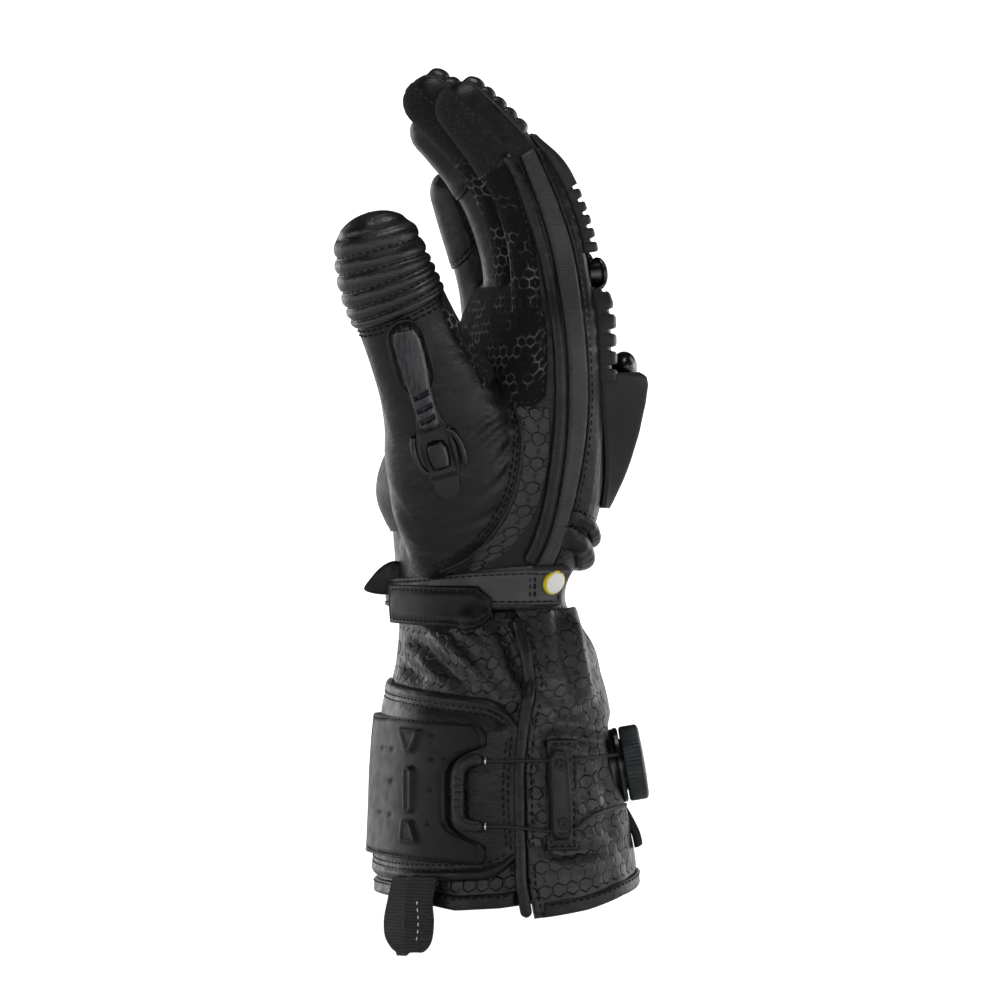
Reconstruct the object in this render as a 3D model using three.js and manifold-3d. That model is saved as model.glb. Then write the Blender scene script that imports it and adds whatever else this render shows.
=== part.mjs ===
// A right-hand leather motorcycle gauntlet glove, in the shape that a hand gives it.
// Millimetres, +Z from the cuff to the fingertips. The thumb side faces -Y, the palm -X
// and the back of the hand +X. The origin is the middle of the cuff's mouth.
import * as THREE from 'three';
import { mergeVertices } from 'three/addons/utils/BufferGeometryUtils.js';
import Module from 'manifold-3d';

const wasm = await Module();
wasm.setup();

// Driving dimensions
const LEATHER = 2.0;
const GAP = 0.35;
const WRIST_SEAM_Z = 104;
const KNUCKLE_TOP_Z = 221;
const RIB_HEIGHT = 2.0;
const FLAP_THICK = 3.6;
const PLATE_THICK = 2.0;
const STRAP_THICK = 1.8;
const LACE_RADIUS = 0.7;
const KNOB_RADIUS = 13.6;
const KNOB_THICK = 7.4;
const RIVET_RADIUS = 5.2;
const WEBBING_THICK = 1.4;
const ABOVE = 1.0; // the height of a piece's lower face over the leather's true surface

// The sleeve from the hem to the knuckles, one row for each level. x, y: its middle;
// breadth: half its size from the thumb side to the little finger side;
// depth: half its size from palm to back; turn: how far the breadth is turned, in degrees.
const SLEEVE = [
  { z: -12, x: -0.8, y: 2, breadth: 52.5, depth: 46.5, turn: 16 },
  { z: 3, x: -0.8, y: 2, breadth: 52, depth: 45.5, turn: 16 },
  { z: 25, x: -1.5, y: 2, breadth: 50.5, depth: 43, turn: 18 },
  { z: 48, x: -3.2, y: 1, breadth: 48, depth: 40, turn: 20 },
  { z: 70, x: -3.8, y: 0, breadth: 45, depth: 37, turn: 22 },
  { z: 88, x: -4.3, y: 0, breadth: 41.5, depth: 33, turn: 25 },
  { z: 97, x: -6.4, y: 0, breadth: 39.5, depth: 29.5, turn: 28 },
  { z: 106, x: -9.4, y: 0, breadth: 38, depth: 27, turn: 30 },
  { z: 114, x: -9.0, y: 0, breadth: 39, depth: 27, turn: 30 },
  { z: 122, x: -6.5, y: 0, breadth: 42, depth: 28.5, turn: 30 },
  { z: 136, x: -4.0, y: 0, breadth: 47, depth: 31, turn: 30 },
  { z: 150, x: -2.5, y: 0, breadth: 49.5, depth: 31.5, turn: 29 },
  { z: 165, x: 0.0, y: 0, breadth: 51, depth: 28.5, turn: 26 },
  { z: 180, x: 3.5, y: 0, breadth: 51.5, depth: 25, turn: 21 },
  { z: 198, x: 7.5, y: 0, breadth: 51, depth: 21.5, turn: 17 },
  { z: 212, x: 9.5, y: 0, breadth: 49.5, depth: 19, turn: 16 },
  { z: 221, x: 9.5, y: 0, breadth: 46.5, depth: 14.5, turn: 16 },
];
// Diagonal folds of the soft cuff: each runs from one place to another round the sleeve.
const FOLDS = [
  { fromZ: 94, fromDeg: -150, toZ: 72, toDeg: -108, width: 5, height: 1.8 },
  { fromZ: 98, fromDeg: -132, toZ: 68, toDeg: -93, width: 4.5, height: 2.2 },
  { fromZ: 98, fromDeg: -112, toZ: 78, toDeg: -88, width: 4, height: 1.6 },
  { fromZ: 92, fromDeg: 60, toZ: 66, toDeg: 96, width: 6, height: 1.6 },
  { fromZ: 88, fromDeg: 20, toZ: 84, toDeg: 58, width: 5, height: 1.4 },
];

// One table for each digit, from its root to its tip, with the columns of the sleeve.
const DIGITS = {
  index: {
    rows: [
      { x: 17.5, y: -33, z: 194, breadth: 12.0, depth: 14.5, turn: 26 },
      { x: 16.5, y: -33.5, z: 216, breadth: 12.0, depth: 14.5, turn: 27 },
      { x: 14.5, y: -34, z: 235, breadth: 11.8, depth: 13.8, turn: 28 },
      { x: 8.8, y: -34.5, z: 253, breadth: 11.4, depth: 12.8, turn: 28 },
      { x: -0.5, y: -34.5, z: 269, breadth: 10.8, depth: 11.6, turn: 28 },
      { x: -8.5, y: -34.5, z: 279, breadth: 10.3, depth: 10.6, turn: 28 },
      { x: -15, y: -34.5, z: 286, breadth: 9.6, depth: 9.8, turn: 28 },
    ],
    cap: 9,
  },
  middle: {
    rows: [
      { x: 13, y: -9.5, z: 196, breadth: 11.6, depth: 14.5, turn: 20 },
      { x: 12, y: -9.5, z: 216, breadth: 11.6, depth: 14.5, turn: 20 },
      { x: 9.5, y: -10, z: 236, breadth: 11.5, depth: 13.8, turn: 20 },
      { x: 3, y: -10.5, z: 255, breadth: 11.2, depth: 12.8, turn: 20 },
      { x: -8.5, y: -10.5, z: 272, breadth: 10.8, depth: 11.6, turn: 20 },
      { x: -19.5, y: -10.5, z: 283, breadth: 10.3, depth: 10.8, turn: 20 },
      { x: -27, y: -10.5, z: 289.5, breadth: 9.8, depth: 9.8, turn: 20 },
    ],
    cap: 9,
  },
  ring: {
    rows: [
      { x: 7, y: 13.5, z: 196, breadth: 11.2, depth: 14, turn: 18 },
      { x: 6.5, y: 13.5, z: 214, breadth: 11.2, depth: 14, turn: 18 },
      { x: 4, y: 13.2, z: 233, breadth: 11.0, depth: 13.2, turn: 18 },
      { x: -2.5, y: 13, z: 251, breadth: 10.8, depth: 12.2, turn: 18 },
      { x: -11, y: 13, z: 265, breadth: 10.4, depth: 11.2, turn: 18 },
      { x: -19, y: 13, z: 274, breadth: 10.0, depth: 10.4, turn: 18 },
      { x: -25, y: 13, z: 279.5, breadth: 9.4, depth: 9.6, turn: 18 },
    ],
    cap: 8.5,
  },
  little: {
    rows: [
      { x: -2, y: 35, z: 192, breadth: 10.0, depth: 12.4, turn: 16 },
      { x: -3.5, y: 35.5, z: 208, breadth: 10.0, depth: 12.4, turn: 16 },
      { x: -5.5, y: 35.5, z: 222, breadth: 9.8, depth: 11.8, turn: 16 },
      { x: -9.5, y: 35.5, z: 236, breadth: 9.6, depth: 11.2, turn: 16 },
      { x: -14, y: 35.5, z: 248, breadth: 9.2, depth: 10.4, turn: 16 },
      { x: -17.5, y: 35.5, z: 257, breadth: 8.8, depth: 9.4, turn: 16 },
    ],
    cap: 9,
  },
  thumb: {
    rows: [
      { x: -27, y: -30, z: 121, breadth: 9, depth: 13, turn: -84 },
      { x: -23, y: -32, z: 134, breadth: 19, depth: 16.5, turn: -84 },
      { x: -19.5, y: -34, z: 150, breadth: 24.5, depth: 19, turn: -84 },
      { x: -19.5, y: -37, z: 166, breadth: 25.5, depth: 19, turn: -84 },
      { x: -24.5, y: -42, z: 182, breadth: 22, depth: 17.5, turn: -84 },
      { x: -32, y: -47, z: 198, breadth: 18.5, depth: 16, turn: -84 },
      { x: -38.5, y: -51, z: 213, breadth: 17.2, depth: 15, turn: -84 },
      { x: -43, y: -53, z: 224, breadth: 16.6, depth: 14.5, turn: -84 },
      { x: -45.5, y: -54, z: 233, breadth: 15.4, depth: 13.5, turn: -84 },
    ],
    cap: 13,
    heel: 6,
  },
};

const radians = (degrees) => (degrees * Math.PI) / 180;
const mix = (a, b, t) => a + (b - a) * t;
const clamp = (v, low, high) => Math.min(high, Math.max(low, v));
const smooth = (v, low, high) => {
  const t = clamp((v - low) / (high - low), 0, 1);
  return t * t * (3 - 2 * t);
};

// A value of a table's column at a place between its rows, on one smooth curve.
function column(rows, name, place) {
  const i = clamp(Math.floor(place), 0, rows.length - 2);
  const t = place - i;
  const v = (k) => rows[clamp(k, 0, rows.length - 1)][name];
  const [a, b, c, d] = [v(i - 1), v(i), v(i + 1), v(i + 2)];
  return 0.5 * (2 * b + (c - a) * t + (2 * a - 5 * b + 4 * c - d) * t * t
    + (3 * b - a - 3 * c + d) * t * t * t);
}

function foldHeight(z, degrees) {
  let height = 0;
  for (const f of FOLDS) {
    const t = clamp((f.fromZ - z) / (f.fromZ - f.toZ), 0, 1);
    const turnedBy = degrees - mix(f.fromDeg, f.toDeg, t);
    const away = (((turnedBy % 360) + 540) % 360 - 180) * 0.7;
    const beyond = Math.max(0, z - f.fromZ, f.toZ - z);
    height += f.height * Math.exp(-(away * away + beyond * beyond) / (f.width * f.width));
  }
  return height;
}

// A soft tube along a table's rows. It is read at s, in millimetres along the middle line,
// or at a level on an upright one, and at an angle in degrees: 0 at the back, 90 at the
// little finger's side, 180 at the palm and -90 at the thumb's side.
class Limb {
  constructor({ rows, cap = 0, heel = 0, upright = false, squareness = 2.3, folded = false }) {
    Object.assign(this, { rows, cap, heel, upright, squareness, folded });
    const STEPS = 240;
    this.lengths = [0];
    let last = this.middle(0);
    for (let k = 1; k <= STEPS; k++) {
      const next = this.middle((k / STEPS) * (rows.length - 1));
      this.lengths.push(this.lengths[k - 1] + next.distanceTo(last));
      last = next;
    }
    this.start = upright ? rows[0].z : 0;
    this.end = upright ? rows[rows.length - 1].z : this.lengths[STEPS];
  }
  middle(place) {
    return new THREE.Vector3(
      ...['x', 'y', 'z'].map((name) => column(this.rows, name, place)));
  }
  placeAt(s) {
    const { rows, lengths } = this;
    if (this.upright) {
      let i = 0;
      while (i < rows.length - 2 && rows[i + 1].z < s) i++;
      let [low, high] = [i, i + 1];
      for (let k = 0; k < 20; k++) {
        const half = (low + high) / 2;
        if (column(rows, 'z', half) < s) low = half;
        else high = half;
      }
      return low;
    }
    let k = 1;
    while (k < lengths.length - 1 && lengths[k] < s) k++;
    const share = clamp((s - lengths[k - 1]) / (lengths[k] - lengths[k - 1]), 0, 1);
    return ((k - 1 + share) / (lengths.length - 1)) * (rows.length - 1);
  }
  frame(s) {
    const place = this.placeAt(clamp(s, this.start, this.end));
    const middle = this.middle(place);
    const turn = radians(column(this.rows, 'turn', place));
    const along = this.upright ? new THREE.Vector3(0, 0, 1)
      : this.middle(Math.min(place + 0.05, this.rows.length - 1))
        .sub(this.middle(Math.max(place - 0.05, 0))).normalize();
    const side = new THREE.Vector3(-Math.sin(turn), Math.cos(turn), 0);
    side.addScaledVector(along, -side.dot(along)).normalize();
    const back = new THREE.Vector3().crossVectors(side, along);
    return { middle, along, side, back,
      breadth: column(this.rows, 'breadth', place), depth: column(this.rows, 'depth', place) };
  }
  point(s, degrees, lift = 0) {
    const f = this.frame(s);
    let shrink = 1;
    let advance = 0;
    if (s > this.end && this.cap) {
      const a = clamp((s - this.end) / this.cap, 0, 1) * (Math.PI / 2);
      shrink = Math.cos(a);
      advance = (this.cap + lift) * Math.sin(a);
    } else if (s < this.start && this.heel) {
      const a = clamp((this.start - s) / this.heel, 0, 1) * (Math.PI / 2);
      shrink = Math.cos(a);
      advance = -(this.heel + lift) * Math.sin(a);
    } else advance = Math.min(0, s - this.start) + Math.max(0, s - this.end);
    const [c, d] = [Math.cos(radians(degrees)), Math.sin(radians(degrees))];
    const power = 2 / this.squareness;
    const raised = lift + (this.folded ? foldHeight(s, degrees) : 0);
    return f.middle.clone().addScaledVector(f.along, advance)
      .addScaledVector(f.back, shrink * (f.depth + raised) * Math.sign(c) * Math.abs(c) ** power)
      .addScaledVector(f.side, shrink * (f.breadth + raised) * Math.sign(d) * Math.abs(d) ** power);
  }
  // The outward direction of the surface.
  normal(s, degrees) {
    const up = this.point(s + 1, degrees).sub(this.point(s - 1, degrees));
    return this.point(s, degrees + 1).sub(this.point(s, degrees - 1)).cross(up).normalize();
  }
  // The angle, on the side that faces -Y, where the surface has this x.
  facing(s, x, lift = 0) {
    const turn = (this.frame(s).side.x < 0 ? 1 : -1)
      * Math.abs(Math.asin(clamp(this.frame(s).side.x, -1, 1)) * 180 / Math.PI);
    let [low, high] = [-165 - turn, -12 - turn];
    for (let k = 0; k < 30; k++) {
      const half = (low + high) / 2;
      if (this.point(s, half, lift).x < x) low = half;
      else high = half;
    }
    return (low + high) / 2;
  }
}

const sleeve = new Limb({ rows: SLEEVE, cap: 5, upright: true, folded: true });
const limbs = {};
for (const [name, table] of Object.entries(DIGITS)) limbs[name] = new Limb(table);

// Closed rings of points, each drawn anticlockwise seen from its far side, as one closed skin.
// flat: the ring is a thin strip, out along its first half and back along the other.
function skin(rings, flat = false) {
  const around = rings[0].length;
  const positions = rings.flat().flatMap((p) => [p.x, p.y, p.z]);
  const faces = [];
  for (let i = 0; i < rings.length - 1; i++)
    for (let j = 0; j < around; j++) {
      const [a, b] = [i * around + j, i * around + ((j + 1) % around)];
      faces.push(a, b, b + around, a, b + around, a + around);
    }
  for (const [base, front] of [[0, false], [(rings.length - 1) * around, true]]) {
    const cover = (a, b, c) => faces.push(...(front ? [a, b, c] : [a, c, b]));
    if (flat)
      for (let j = 0; j < around / 2 - 1; j++) {
        const [a, b] = [base + j, base + j + 1];
        const [c, d] = [base + around - 2 - j, base + around - 1 - j];
        cover(a, b, c);
        cover(a, c, d);
      }
    else for (let j = 1; j < around - 1; j++) cover(base, base + j, base + j + 1);
  }
  return new THREE.BufferGeometry()
    .setAttribute('position', new THREE.Float32BufferAttribute(positions, 3))
    .setIndex(faces);
}

function solid(geometry) {
  const bare = geometry.clone();
  for (const name of Object.keys(bare.attributes))
    if (name !== 'position') bare.deleteAttribute(name);
  const merged = mergeVertices(bare, 1e-4);
  const corners = merged.attributes.position.array;
  const faces = [];
  for (let i = 0; i < merged.index.count; i += 3) {
    const [a, b, c] = [0, 1, 2].map((k) => merged.index.getX(i + k));
    if (a !== b && b !== c && a !== c) faces.push(a, b, c);
  }
  return new wasm.Manifold(new wasm.Mesh(
    { numProp: 3, vertProperties: new Float32Array(corners), triVerts: new Uint32Array(faces) }));
}

// The largest body of a solid, because a cut can leave crumbs.
function largest(body) {
  return body.decompose().sort((a, b) => b.volume() - a.volume())[0];
}

function geometryOf(body) {
  const mesh = body.getMesh();
  const positions = new Float32Array(mesh.numVert * 3);
  for (let i = 0; i < mesh.numVert; i++)
    positions.set(mesh.vertProperties.subarray(i * mesh.numProp, i * mesh.numProp + 3), i * 3);
  const geometry = new THREE.BufferGeometry()
    .setAttribute('position', new THREE.BufferAttribute(positions, 3))
    .setIndex(new THREE.BufferAttribute(new Uint32Array(mesh.triVerts), 1));
  return geometry;
}

const spread = (low, high, count) =>
  Array.from({ length: count + 1 }, (_, i) => mix(low, high, i / count));

// The whole solid of a limb, between two places along it.
function stuffed(limb, { from, to, lift = 0, around, stations, capSteps = 3, heelSteps = 2 }) {
  const places = spread(from, to, stations);
  if (limb.cap && to >= limb.end)
    for (let k = 1; k <= capSteps; k++)
      places.push(limb.end + limb.cap * Math.min(k / capSteps, 0.97));
  if (limb.heel && from <= limb.start)
    for (let k = 1; k <= heelSteps; k++)
      places.unshift(limb.start - limb.heel * Math.min(k / heelSteps, 0.97));
  return solid(skin(places.map((s) =>
    spread(0, 360, around).slice(0, -1).map((deg) => limb.point(s, deg, lift)))));
}

// A piece that lies on a limb, as a grid. at(r, c) gives the place and the angle for the
// shares r along it and c across it, and top and base the heights of its two faces.
function overlay(limb, { rows, columns, at, top, base = ABOVE }) {
  const height = (h, r, c) => (typeof h === 'function' ? h(r, c) : h);
  const [along, across] = [rows, columns].map((n) => (Array.isArray(n) ? n : spread(0, 1, n)));
  return solid(skin(along.map((r) => {
    const face = (h) => across.map((c) => limb.point(...at(r, c), height(h, r, c)));
    return [...face(top), ...face(base).reverse()];
  }), true));
}

// A piece that lies on what is seen from the thumb side, as a grid of x and z.
function applique({ rows, columns, at, top, base = ABOVE }) {
  return solid(skin(spread(0, 1, rows).map((r) => {
    const face = (height) => spread(0, 1, columns).map((c) => {
      const [x, z] = at(r, c);
      return seen(x, z).add(new THREE.Vector3(0, -height(r, c), 0));
    });
    return [...face(top), ...face(() => base).reverse()];
  }), true));
}

// The point of the leather that is seen from the thumb side at x and z.
const leatherMeshes = [];
function seen(x, z) {
  const ray = new THREE.Raycaster(new THREE.Vector3(x, -200, z), new THREE.Vector3(0, 1, 0));
  const hits = ray.intersectObjects(leatherMeshes, false);
  if (!hits.length) throw new Error(`nothing is seen at x ${x}, z ${z}`);
  return hits[0].point.clone();
}

// A value between the rows of a small table, read by the column key.
function lookup(table, key, at, name) {
  let i = 0;
  while (i < table.length - 2 && table[i + 1][key] < at) i++;
  const [a, b] = [table[i], table[i + 1]];
  return mix(a[name], b[name], clamp((at - a[key]) / (b[key] - a[key]), 0, 1));
}

// A flat strap along a line of points, with its width along one direction.
function ribbon(points, width, thickness) {
  const curve = new THREE.CatmullRomCurve3(points);
  const steps = points.length * 2;
  return solid(skin(spread(0, 1, steps).map((t) => {
    const [p, along] = [curve.getPointAt(t), curve.getTangentAt(t)];
    const half = new THREE.Vector3().crossVectors(along, width).setLength(thickness / 2);
    const corner = (a, b) => p.clone().addScaledVector(width, a / 2).addScaledVector(half, b);
    return [corner(-1, -1), corner(1, -1), corner(1, 1), corner(-1, 1)];
  })));
}

// A round cord along a curve.
function cord(points, radius, sides, steps) {
  const circle = new THREE.Shape();
  circle.absarc(0, 0, radius, 0, Math.PI * 2, false);
  return solid(new THREE.ExtrudeGeometry(circle, {
    curveSegments: sides / 2, steps, bevelEnabled: false,
    extrudePath: new THREE.CatmullRomCurve3(points),
  }));
}

// A turned solid about the line from a point along a direction.
function turned(profile, sides, origin, axis) {
  const geometry = new THREE.LatheGeometry(profile.map(([r, h]) => new THREE.Vector2(r, h)), sides);
  const upright = new THREE.Vector3(0, 1, 0);
  geometry.applyQuaternion(new THREE.Quaternion().setFromUnitVectors(upright, axis));
  geometry.translate(origin.x, origin.y, origin.z);
  return solid(geometry);
}

// Materials
const finish = (color, roughness, metalness = 0) =>
  new THREE.MeshStandardMaterial({ color, roughness, metalness });
const leather = finish(0x1c1b1d, 0.5);
const embossed = finish(0x242326, 0.6);
const suede = finish(0x121112, 0.95);
const plastic = finish(0x2a292b, 0.5);
const glossPlastic = finish(0x0c0c0e, 0.2);
const rubber = finish(0x272628, 0.55);
const knobRubber = finish(0x16262a, 0.45);
const webbing = finish(0x19181a, 0.85);
const lace = finish(0x0b0b0c, 0.5);
const capWhite = finish(0xf5f5f0, 0.3);

const glove = new THREE.Group();
glove.name = 'leather_motorcycle_glove';
function add(name, body, material) {
  const mesh = new THREE.Mesh(geometryOf(body), material);
  mesh.name = name;
  glove.add(mesh);
  return body;
}

// The hollow hand: the body of the hand, four fingers and the thumb
const handLevels = { from: WRIST_SEAM_Z, to: KNUCKLE_TOP_Z, around: 20, stations: 6, capSteps: 2 };
const handOuter = stuffed(sleeve, handLevels);
const handGrown = stuffed(sleeve, { ...handLevels, from: WRIST_SEAM_Z - 0.6, lift: GAP });
const handHollow = stuffed(sleeve, { ...handLevels, from: WRIST_SEAM_Z - 6, lift: -LEATHER,
  around: 14, stations: 5 });
const FINGERS = ['index', 'middle', 'ring', 'little'];
const bodies = {};
for (const name of [...FINGERS, 'thumb']) {
  const limb = limbs[name];
  const [stations, around] = name === 'thumb' ? [6, 12] : [4, 10];
  const levels = { from: 0, to: limb.end, stations, around, capSteps: 2, heelSteps: 1 };
  bodies[name] = {
    outer: stuffed(limb, levels),
    grown: stuffed(limb, { ...levels, lift: GAP }),
    hollow: stuffed(limb, { ...levels, from: limb.heel ? 0 : -14, lift: -LEATHER,
      around: around - 2, stations: stations - 1 }),
  };
}
let handBody = handOuter.subtract(handHollow);
for (const name of [...FINGERS, 'thumb']) handBody = handBody.subtract(bodies[name].hollow);
add('hand_body', largest(handBody), leather);
let neighbour = null;
for (const name of FINGERS) {
  let shell = bodies[name].outer.subtract(bodies[name].hollow).subtract(handGrown);
  if (neighbour) shell = shell.subtract(neighbour.grown);
  neighbour = bodies[name];
  add(`${name}_finger`, largest(shell), leather);
}
const thumbShell = bodies.thumb.outer.subtract(bodies.thumb.hollow).subtract(handGrown)
  .subtract(bodies.index.grown);
add('thumb', largest(thumbShell), leather);
leatherMeshes.push(...glove.children);

// All the leather of the hand with a gap round it, which the pieces on it are cut by.
let handClear = handGrown;
for (const name of [...FINGERS, 'thumb']) handClear = handClear.add(bodies[name].grown);
const onHand = (name, body, material) => add(name, largest(body.subtract(handClear)), material);

// The cuff: a back part whose front edge laps over the palm part
const CUFF_TOP_Z = WRIST_SEAM_Z - GAP;
const EDGE_LINE = [
  { z: -8, x: 11 }, { z: 5, x: 8.4 }, { z: 23, x: 7.7 }, { z: 45, x: 7.3 }, { z: 59, x: 8.2 },
  { z: 70, x: 10.2 }, { z: 78, x: 11.2 }, { z: 88, x: 9.3 }, { z: 99, x: 5.8 }, { z: 104, x: 3.5 },
];
const BACK_HEM = [
  { deg: -85, z: -8 }, { deg: -62, z: -4.6 }, { deg: -40, z: 0 }, { deg: -12, z: 4 },
  { deg: 45, z: 2 }, { deg: 112, z: 0 },
];
const PALM_HEM = [
  { deg: 106, z: 0 }, { deg: 150, z: 1 }, { deg: 180, z: 0 }, { deg: 205, z: -1 },
  { deg: 235, z: -4.7 }, { deg: 258, z: -3.8 }, { deg: 280, z: -1.4 },
];
const BACK_SEAM_DEG = 112;
const PALM_SEAM_DEG = 106;
const backEdge = (z) => sleeve.facing(z, lookup(EDGE_LINE, 'z', z, 'x'), LEATHER);
const backAt = (r, c) => {
  const share = mix(-82, BACK_SEAM_DEG, c);
  const z = mix(lookup(BACK_HEM, 'deg', share, 'z'), CUFF_TOP_Z, r);
  return [z, mix(backEdge(z), BACK_SEAM_DEG, c)];
};
const palmAt = (r, c) => {
  const deg = mix(PALM_SEAM_DEG, 278, c);
  const z = mix(lookup(PALM_HEM, 'deg', deg, 'z'), CUFF_TOP_Z, r);
  return [z, mix(PALM_SEAM_DEG, backEdge(z) + 366, c)];
};
const backGrid = { rows: 6, columns: 12, at: backAt };
const palmGrid = { rows: 6, columns: 12, at: palmAt };
const PALM_LOWER = -LEATHER - 3 * GAP;
const grown = (grid, top, base) => overlay(sleeve, { ...grid, top: top + GAP, base: base - GAP,
  at: (r, c) => grid.at(mix(-0.004, 1.004, r), mix(-0.003, 1.003, c)) });
const cuffBack = overlay(sleeve, { ...backGrid, top: LEATHER, base: 0 });
const cuffBackClear = grown(backGrid, LEATHER, 0);
const cuffPalm = overlay(sleeve, { ...palmGrid, top: LEATHER + PALM_LOWER, base: PALM_LOWER });
const cuffClear = cuffBackClear.add(grown(palmGrid, LEATHER + PALM_LOWER, PALM_LOWER));
add('cuff_back', cuffBack, embossed);
add('cuff_palm', largest(cuffPalm.subtract(cuffBackClear)), embossed);
const onCuff = (name, body, material) => add(name, largest(body.subtract(cuffClear)), material);

// Rolled edges of the cuff
const BINDING = 5.5;
const BINDING_THICK = 1.1;
const hemStrip = (edge) => (r, c) => {
  const [z, deg] = edge(0, c);
  return [z + BINDING * r, deg];
};
onCuff('hem_binding_back', overlay(sleeve, { rows: 1, columns: spread(0, 1, 12).slice(1),
  at: hemStrip(backAt), top: LEATHER + GAP + BINDING_THICK, base: LEATHER + GAP + 0.1 }), leather);
onCuff('hem_binding_palm', overlay(sleeve, { rows: 1, columns: spread(0, 1, 12).slice(1, -1),
  at: hemStrip(palmAt), top: BINDING_THICK - 0.2, base: -0.4 }), leather);
const EDGE_RADIUS = 1.7;
const edgePoints = spread(-7, 100, 14).map((z) =>
  sleeve.point(z, backEdge(z) - 2.9, EDGE_RADIUS + 0.2));
onCuff('edge_piping', cord(edgePoints, EDGE_RADIUS, 6, 16), leather);
const edgeClear = cord(edgePoints, EDGE_RADIUS + GAP, 6, 16);

// The padded closure flap on the cuff's palm part, with its moulded plate
const flapTop = (c) => mix(78.5, 70.5, c) - 9 * (1 - Math.sqrt(1 - smooth(c, 0.8, 1) ** 2));
const flapBottom = (c) => mix(9, 7, c) - 2.5 * Math.sin(Math.PI * c)
  + 8 * (1 - Math.sqrt(1 - smooth(c, 0.82, 1) ** 2));
const FLAP_WRAP_DEG = -216;
const flapAt = (r, c) => {
  const z = mix(flapBottom(c), flapTop(c), r);
  return [z, mix(FLAP_WRAP_DEG, sleeve.facing(z, 5.6, FLAP_THICK), c)];
};
const flapGrid = { rows: [0, 0.06, 0.35, 0.65, 0.94, 1], at: flapAt,
  columns: [0, 0.13, 0.26, 0.39, 0.52, 0.65, 0.78, 0.89, 0.97, 1] };
const flapSwell = (r, c) => FLAP_THICK
  - 1.6 * (1 - smooth(r, 0, 0.06) * smooth(1 - r, 0, 0.06) * smooth(1 - c, 0, 0.06));
onCuff('closure_flap', overlay(sleeve, { ...flapGrid, top: flapSwell, base: 0.4 })
  .subtract(edgeClear), leather);
const flapClear = overlay(sleeve, { ...flapGrid, top: (r, c) => flapSwell(r, c) + GAP });

const PLATE_EDGE = [
  { z: 12, x: -10 }, { z: 14, x: -7 }, { z: 18, x: -7 }, { z: 21.5, x: -13.5 }, { z: 26, x: -20 },
  { z: 45, x: -20.5 }, { z: 53, x: -13.5 }, { z: 55, x: -7 }, { z: 60, x: -7 }, { z: 62.5, x: -10 },
];
const PLATE_BOTTOM_Z = 12;
const PLATE_LEFT_Z = 66;
const plateLevels = PLATE_EDGE.map((row) => (row.z - PLATE_BOTTOM_Z) / (62.5 - PLATE_BOTTOM_Z));
const plateAt = (r, c) => {
  const z = mix(PLATE_BOTTOM_Z, 62.5, r);
  const x = lookup(PLATE_EDGE, 'z', z, 'x');
  const deg = mix(FLAP_WRAP_DEG + 8, sleeve.facing(z, x, FLAP_THICK), c);
  return [mix(mix(PLATE_BOTTOM_Z + 3, PLATE_LEFT_Z, r), z, c), deg];
};
const plateTop = FLAP_THICK + GAP + 0.5 + PLATE_THICK;
const plate = overlay(sleeve, { rows: plateLevels, columns: 7, at: plateAt,
  top: plateTop, base: FLAP_THICK + GAP + 0.5 });
add('closure_plate', largest(plate.subtract(flapClear)), rubber);

// The lace that closes the cuff, its hook on the flap and its guide on the back part
const at = (x, z, lift) => sleeve.point(z, sleeve.facing(z, x, lift), lift);
const HOOK_RADIUS = 2.2;
const hookLift = FLAP_THICK + 2 * GAP + HOOK_RADIUS;
const HOOK_LINE = [
  [-8, 49.4], [-12, 49.6], [-15.6, 47.2], [-16.8, 43], [-16.8, 37], [-16.8, 31], [-15.6, 27.6],
  [-12, 26], [-8, 25.9],
];
const hookPoints = HOOK_LINE.map(([x, z]) => at(x, z, hookLift));
const laceLine = (z, guideZ, dialZ) => [
  at(-9.5, z, hookLift), at(-7, z, hookLift), at(0, z, 6), at(8, mix(z, guideZ, 0.5), 5.2),
  at(16, guideZ, 4.2), at(24, guideZ, 4), at(32, mix(guideZ, dialZ, 0.6), 3.6),
  sleeve.point(dialZ, -38, 3.6),
];
const laceLines = { lace_upper: laceLine(49.4, 49.6, 51), lace_lower: laceLine(25.9, 24.2, 33) };
for (const [name, points] of Object.entries(laceLines))
  onCuff(name, cord(points, LACE_RADIUS, 8, 14), lace);
let laceClear = null;
for (const points of Object.values(laceLines)) {
  const clear = cord(points, LACE_RADIUS + GAP, 8, 14);
  laceClear = laceClear ? laceClear.add(clear) : clear;
}
add('lace_hook', largest(cord(hookPoints, HOOK_RADIUS, 8, 12).subtract(laceClear)), glossPlastic);
const GUIDE = { left: 16.8, right: 23, bottom: 21, top: 53, height: 6.4 };
const guideAt = (r, c) => [mix(GUIDE.bottom, GUIDE.top, r),
  mix(sleeve.facing(37, GUIDE.left, 5), sleeve.facing(37, GUIDE.right, 5), c)];
const TUNNELS = [0.1, 0.895];
const inTunnel = (r) => TUNNELS.some((middle) => Math.abs(r - middle) < 0.045);
const tunnelRows = TUNNELS.flatMap((middle) =>
  [-0.046, -0.044, 0.044, 0.046].map((step) => middle + step));
onCuff('lace_guide', overlay(sleeve, {
  rows: [0, 0.04, ...tunnelRows, 0.96, 1], columns: 2, at: guideAt,
  base: (r) => (inTunnel(r) ? 5 : LEATHER + 2 * GAP),
  top: (r, c) => GUIDE.height - (r === 0 || r === 1 ? 1.4 : 0) - (c === 0.5 ? 0 : 0.6) })
  .subtract(laceClear), plastic);

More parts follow.
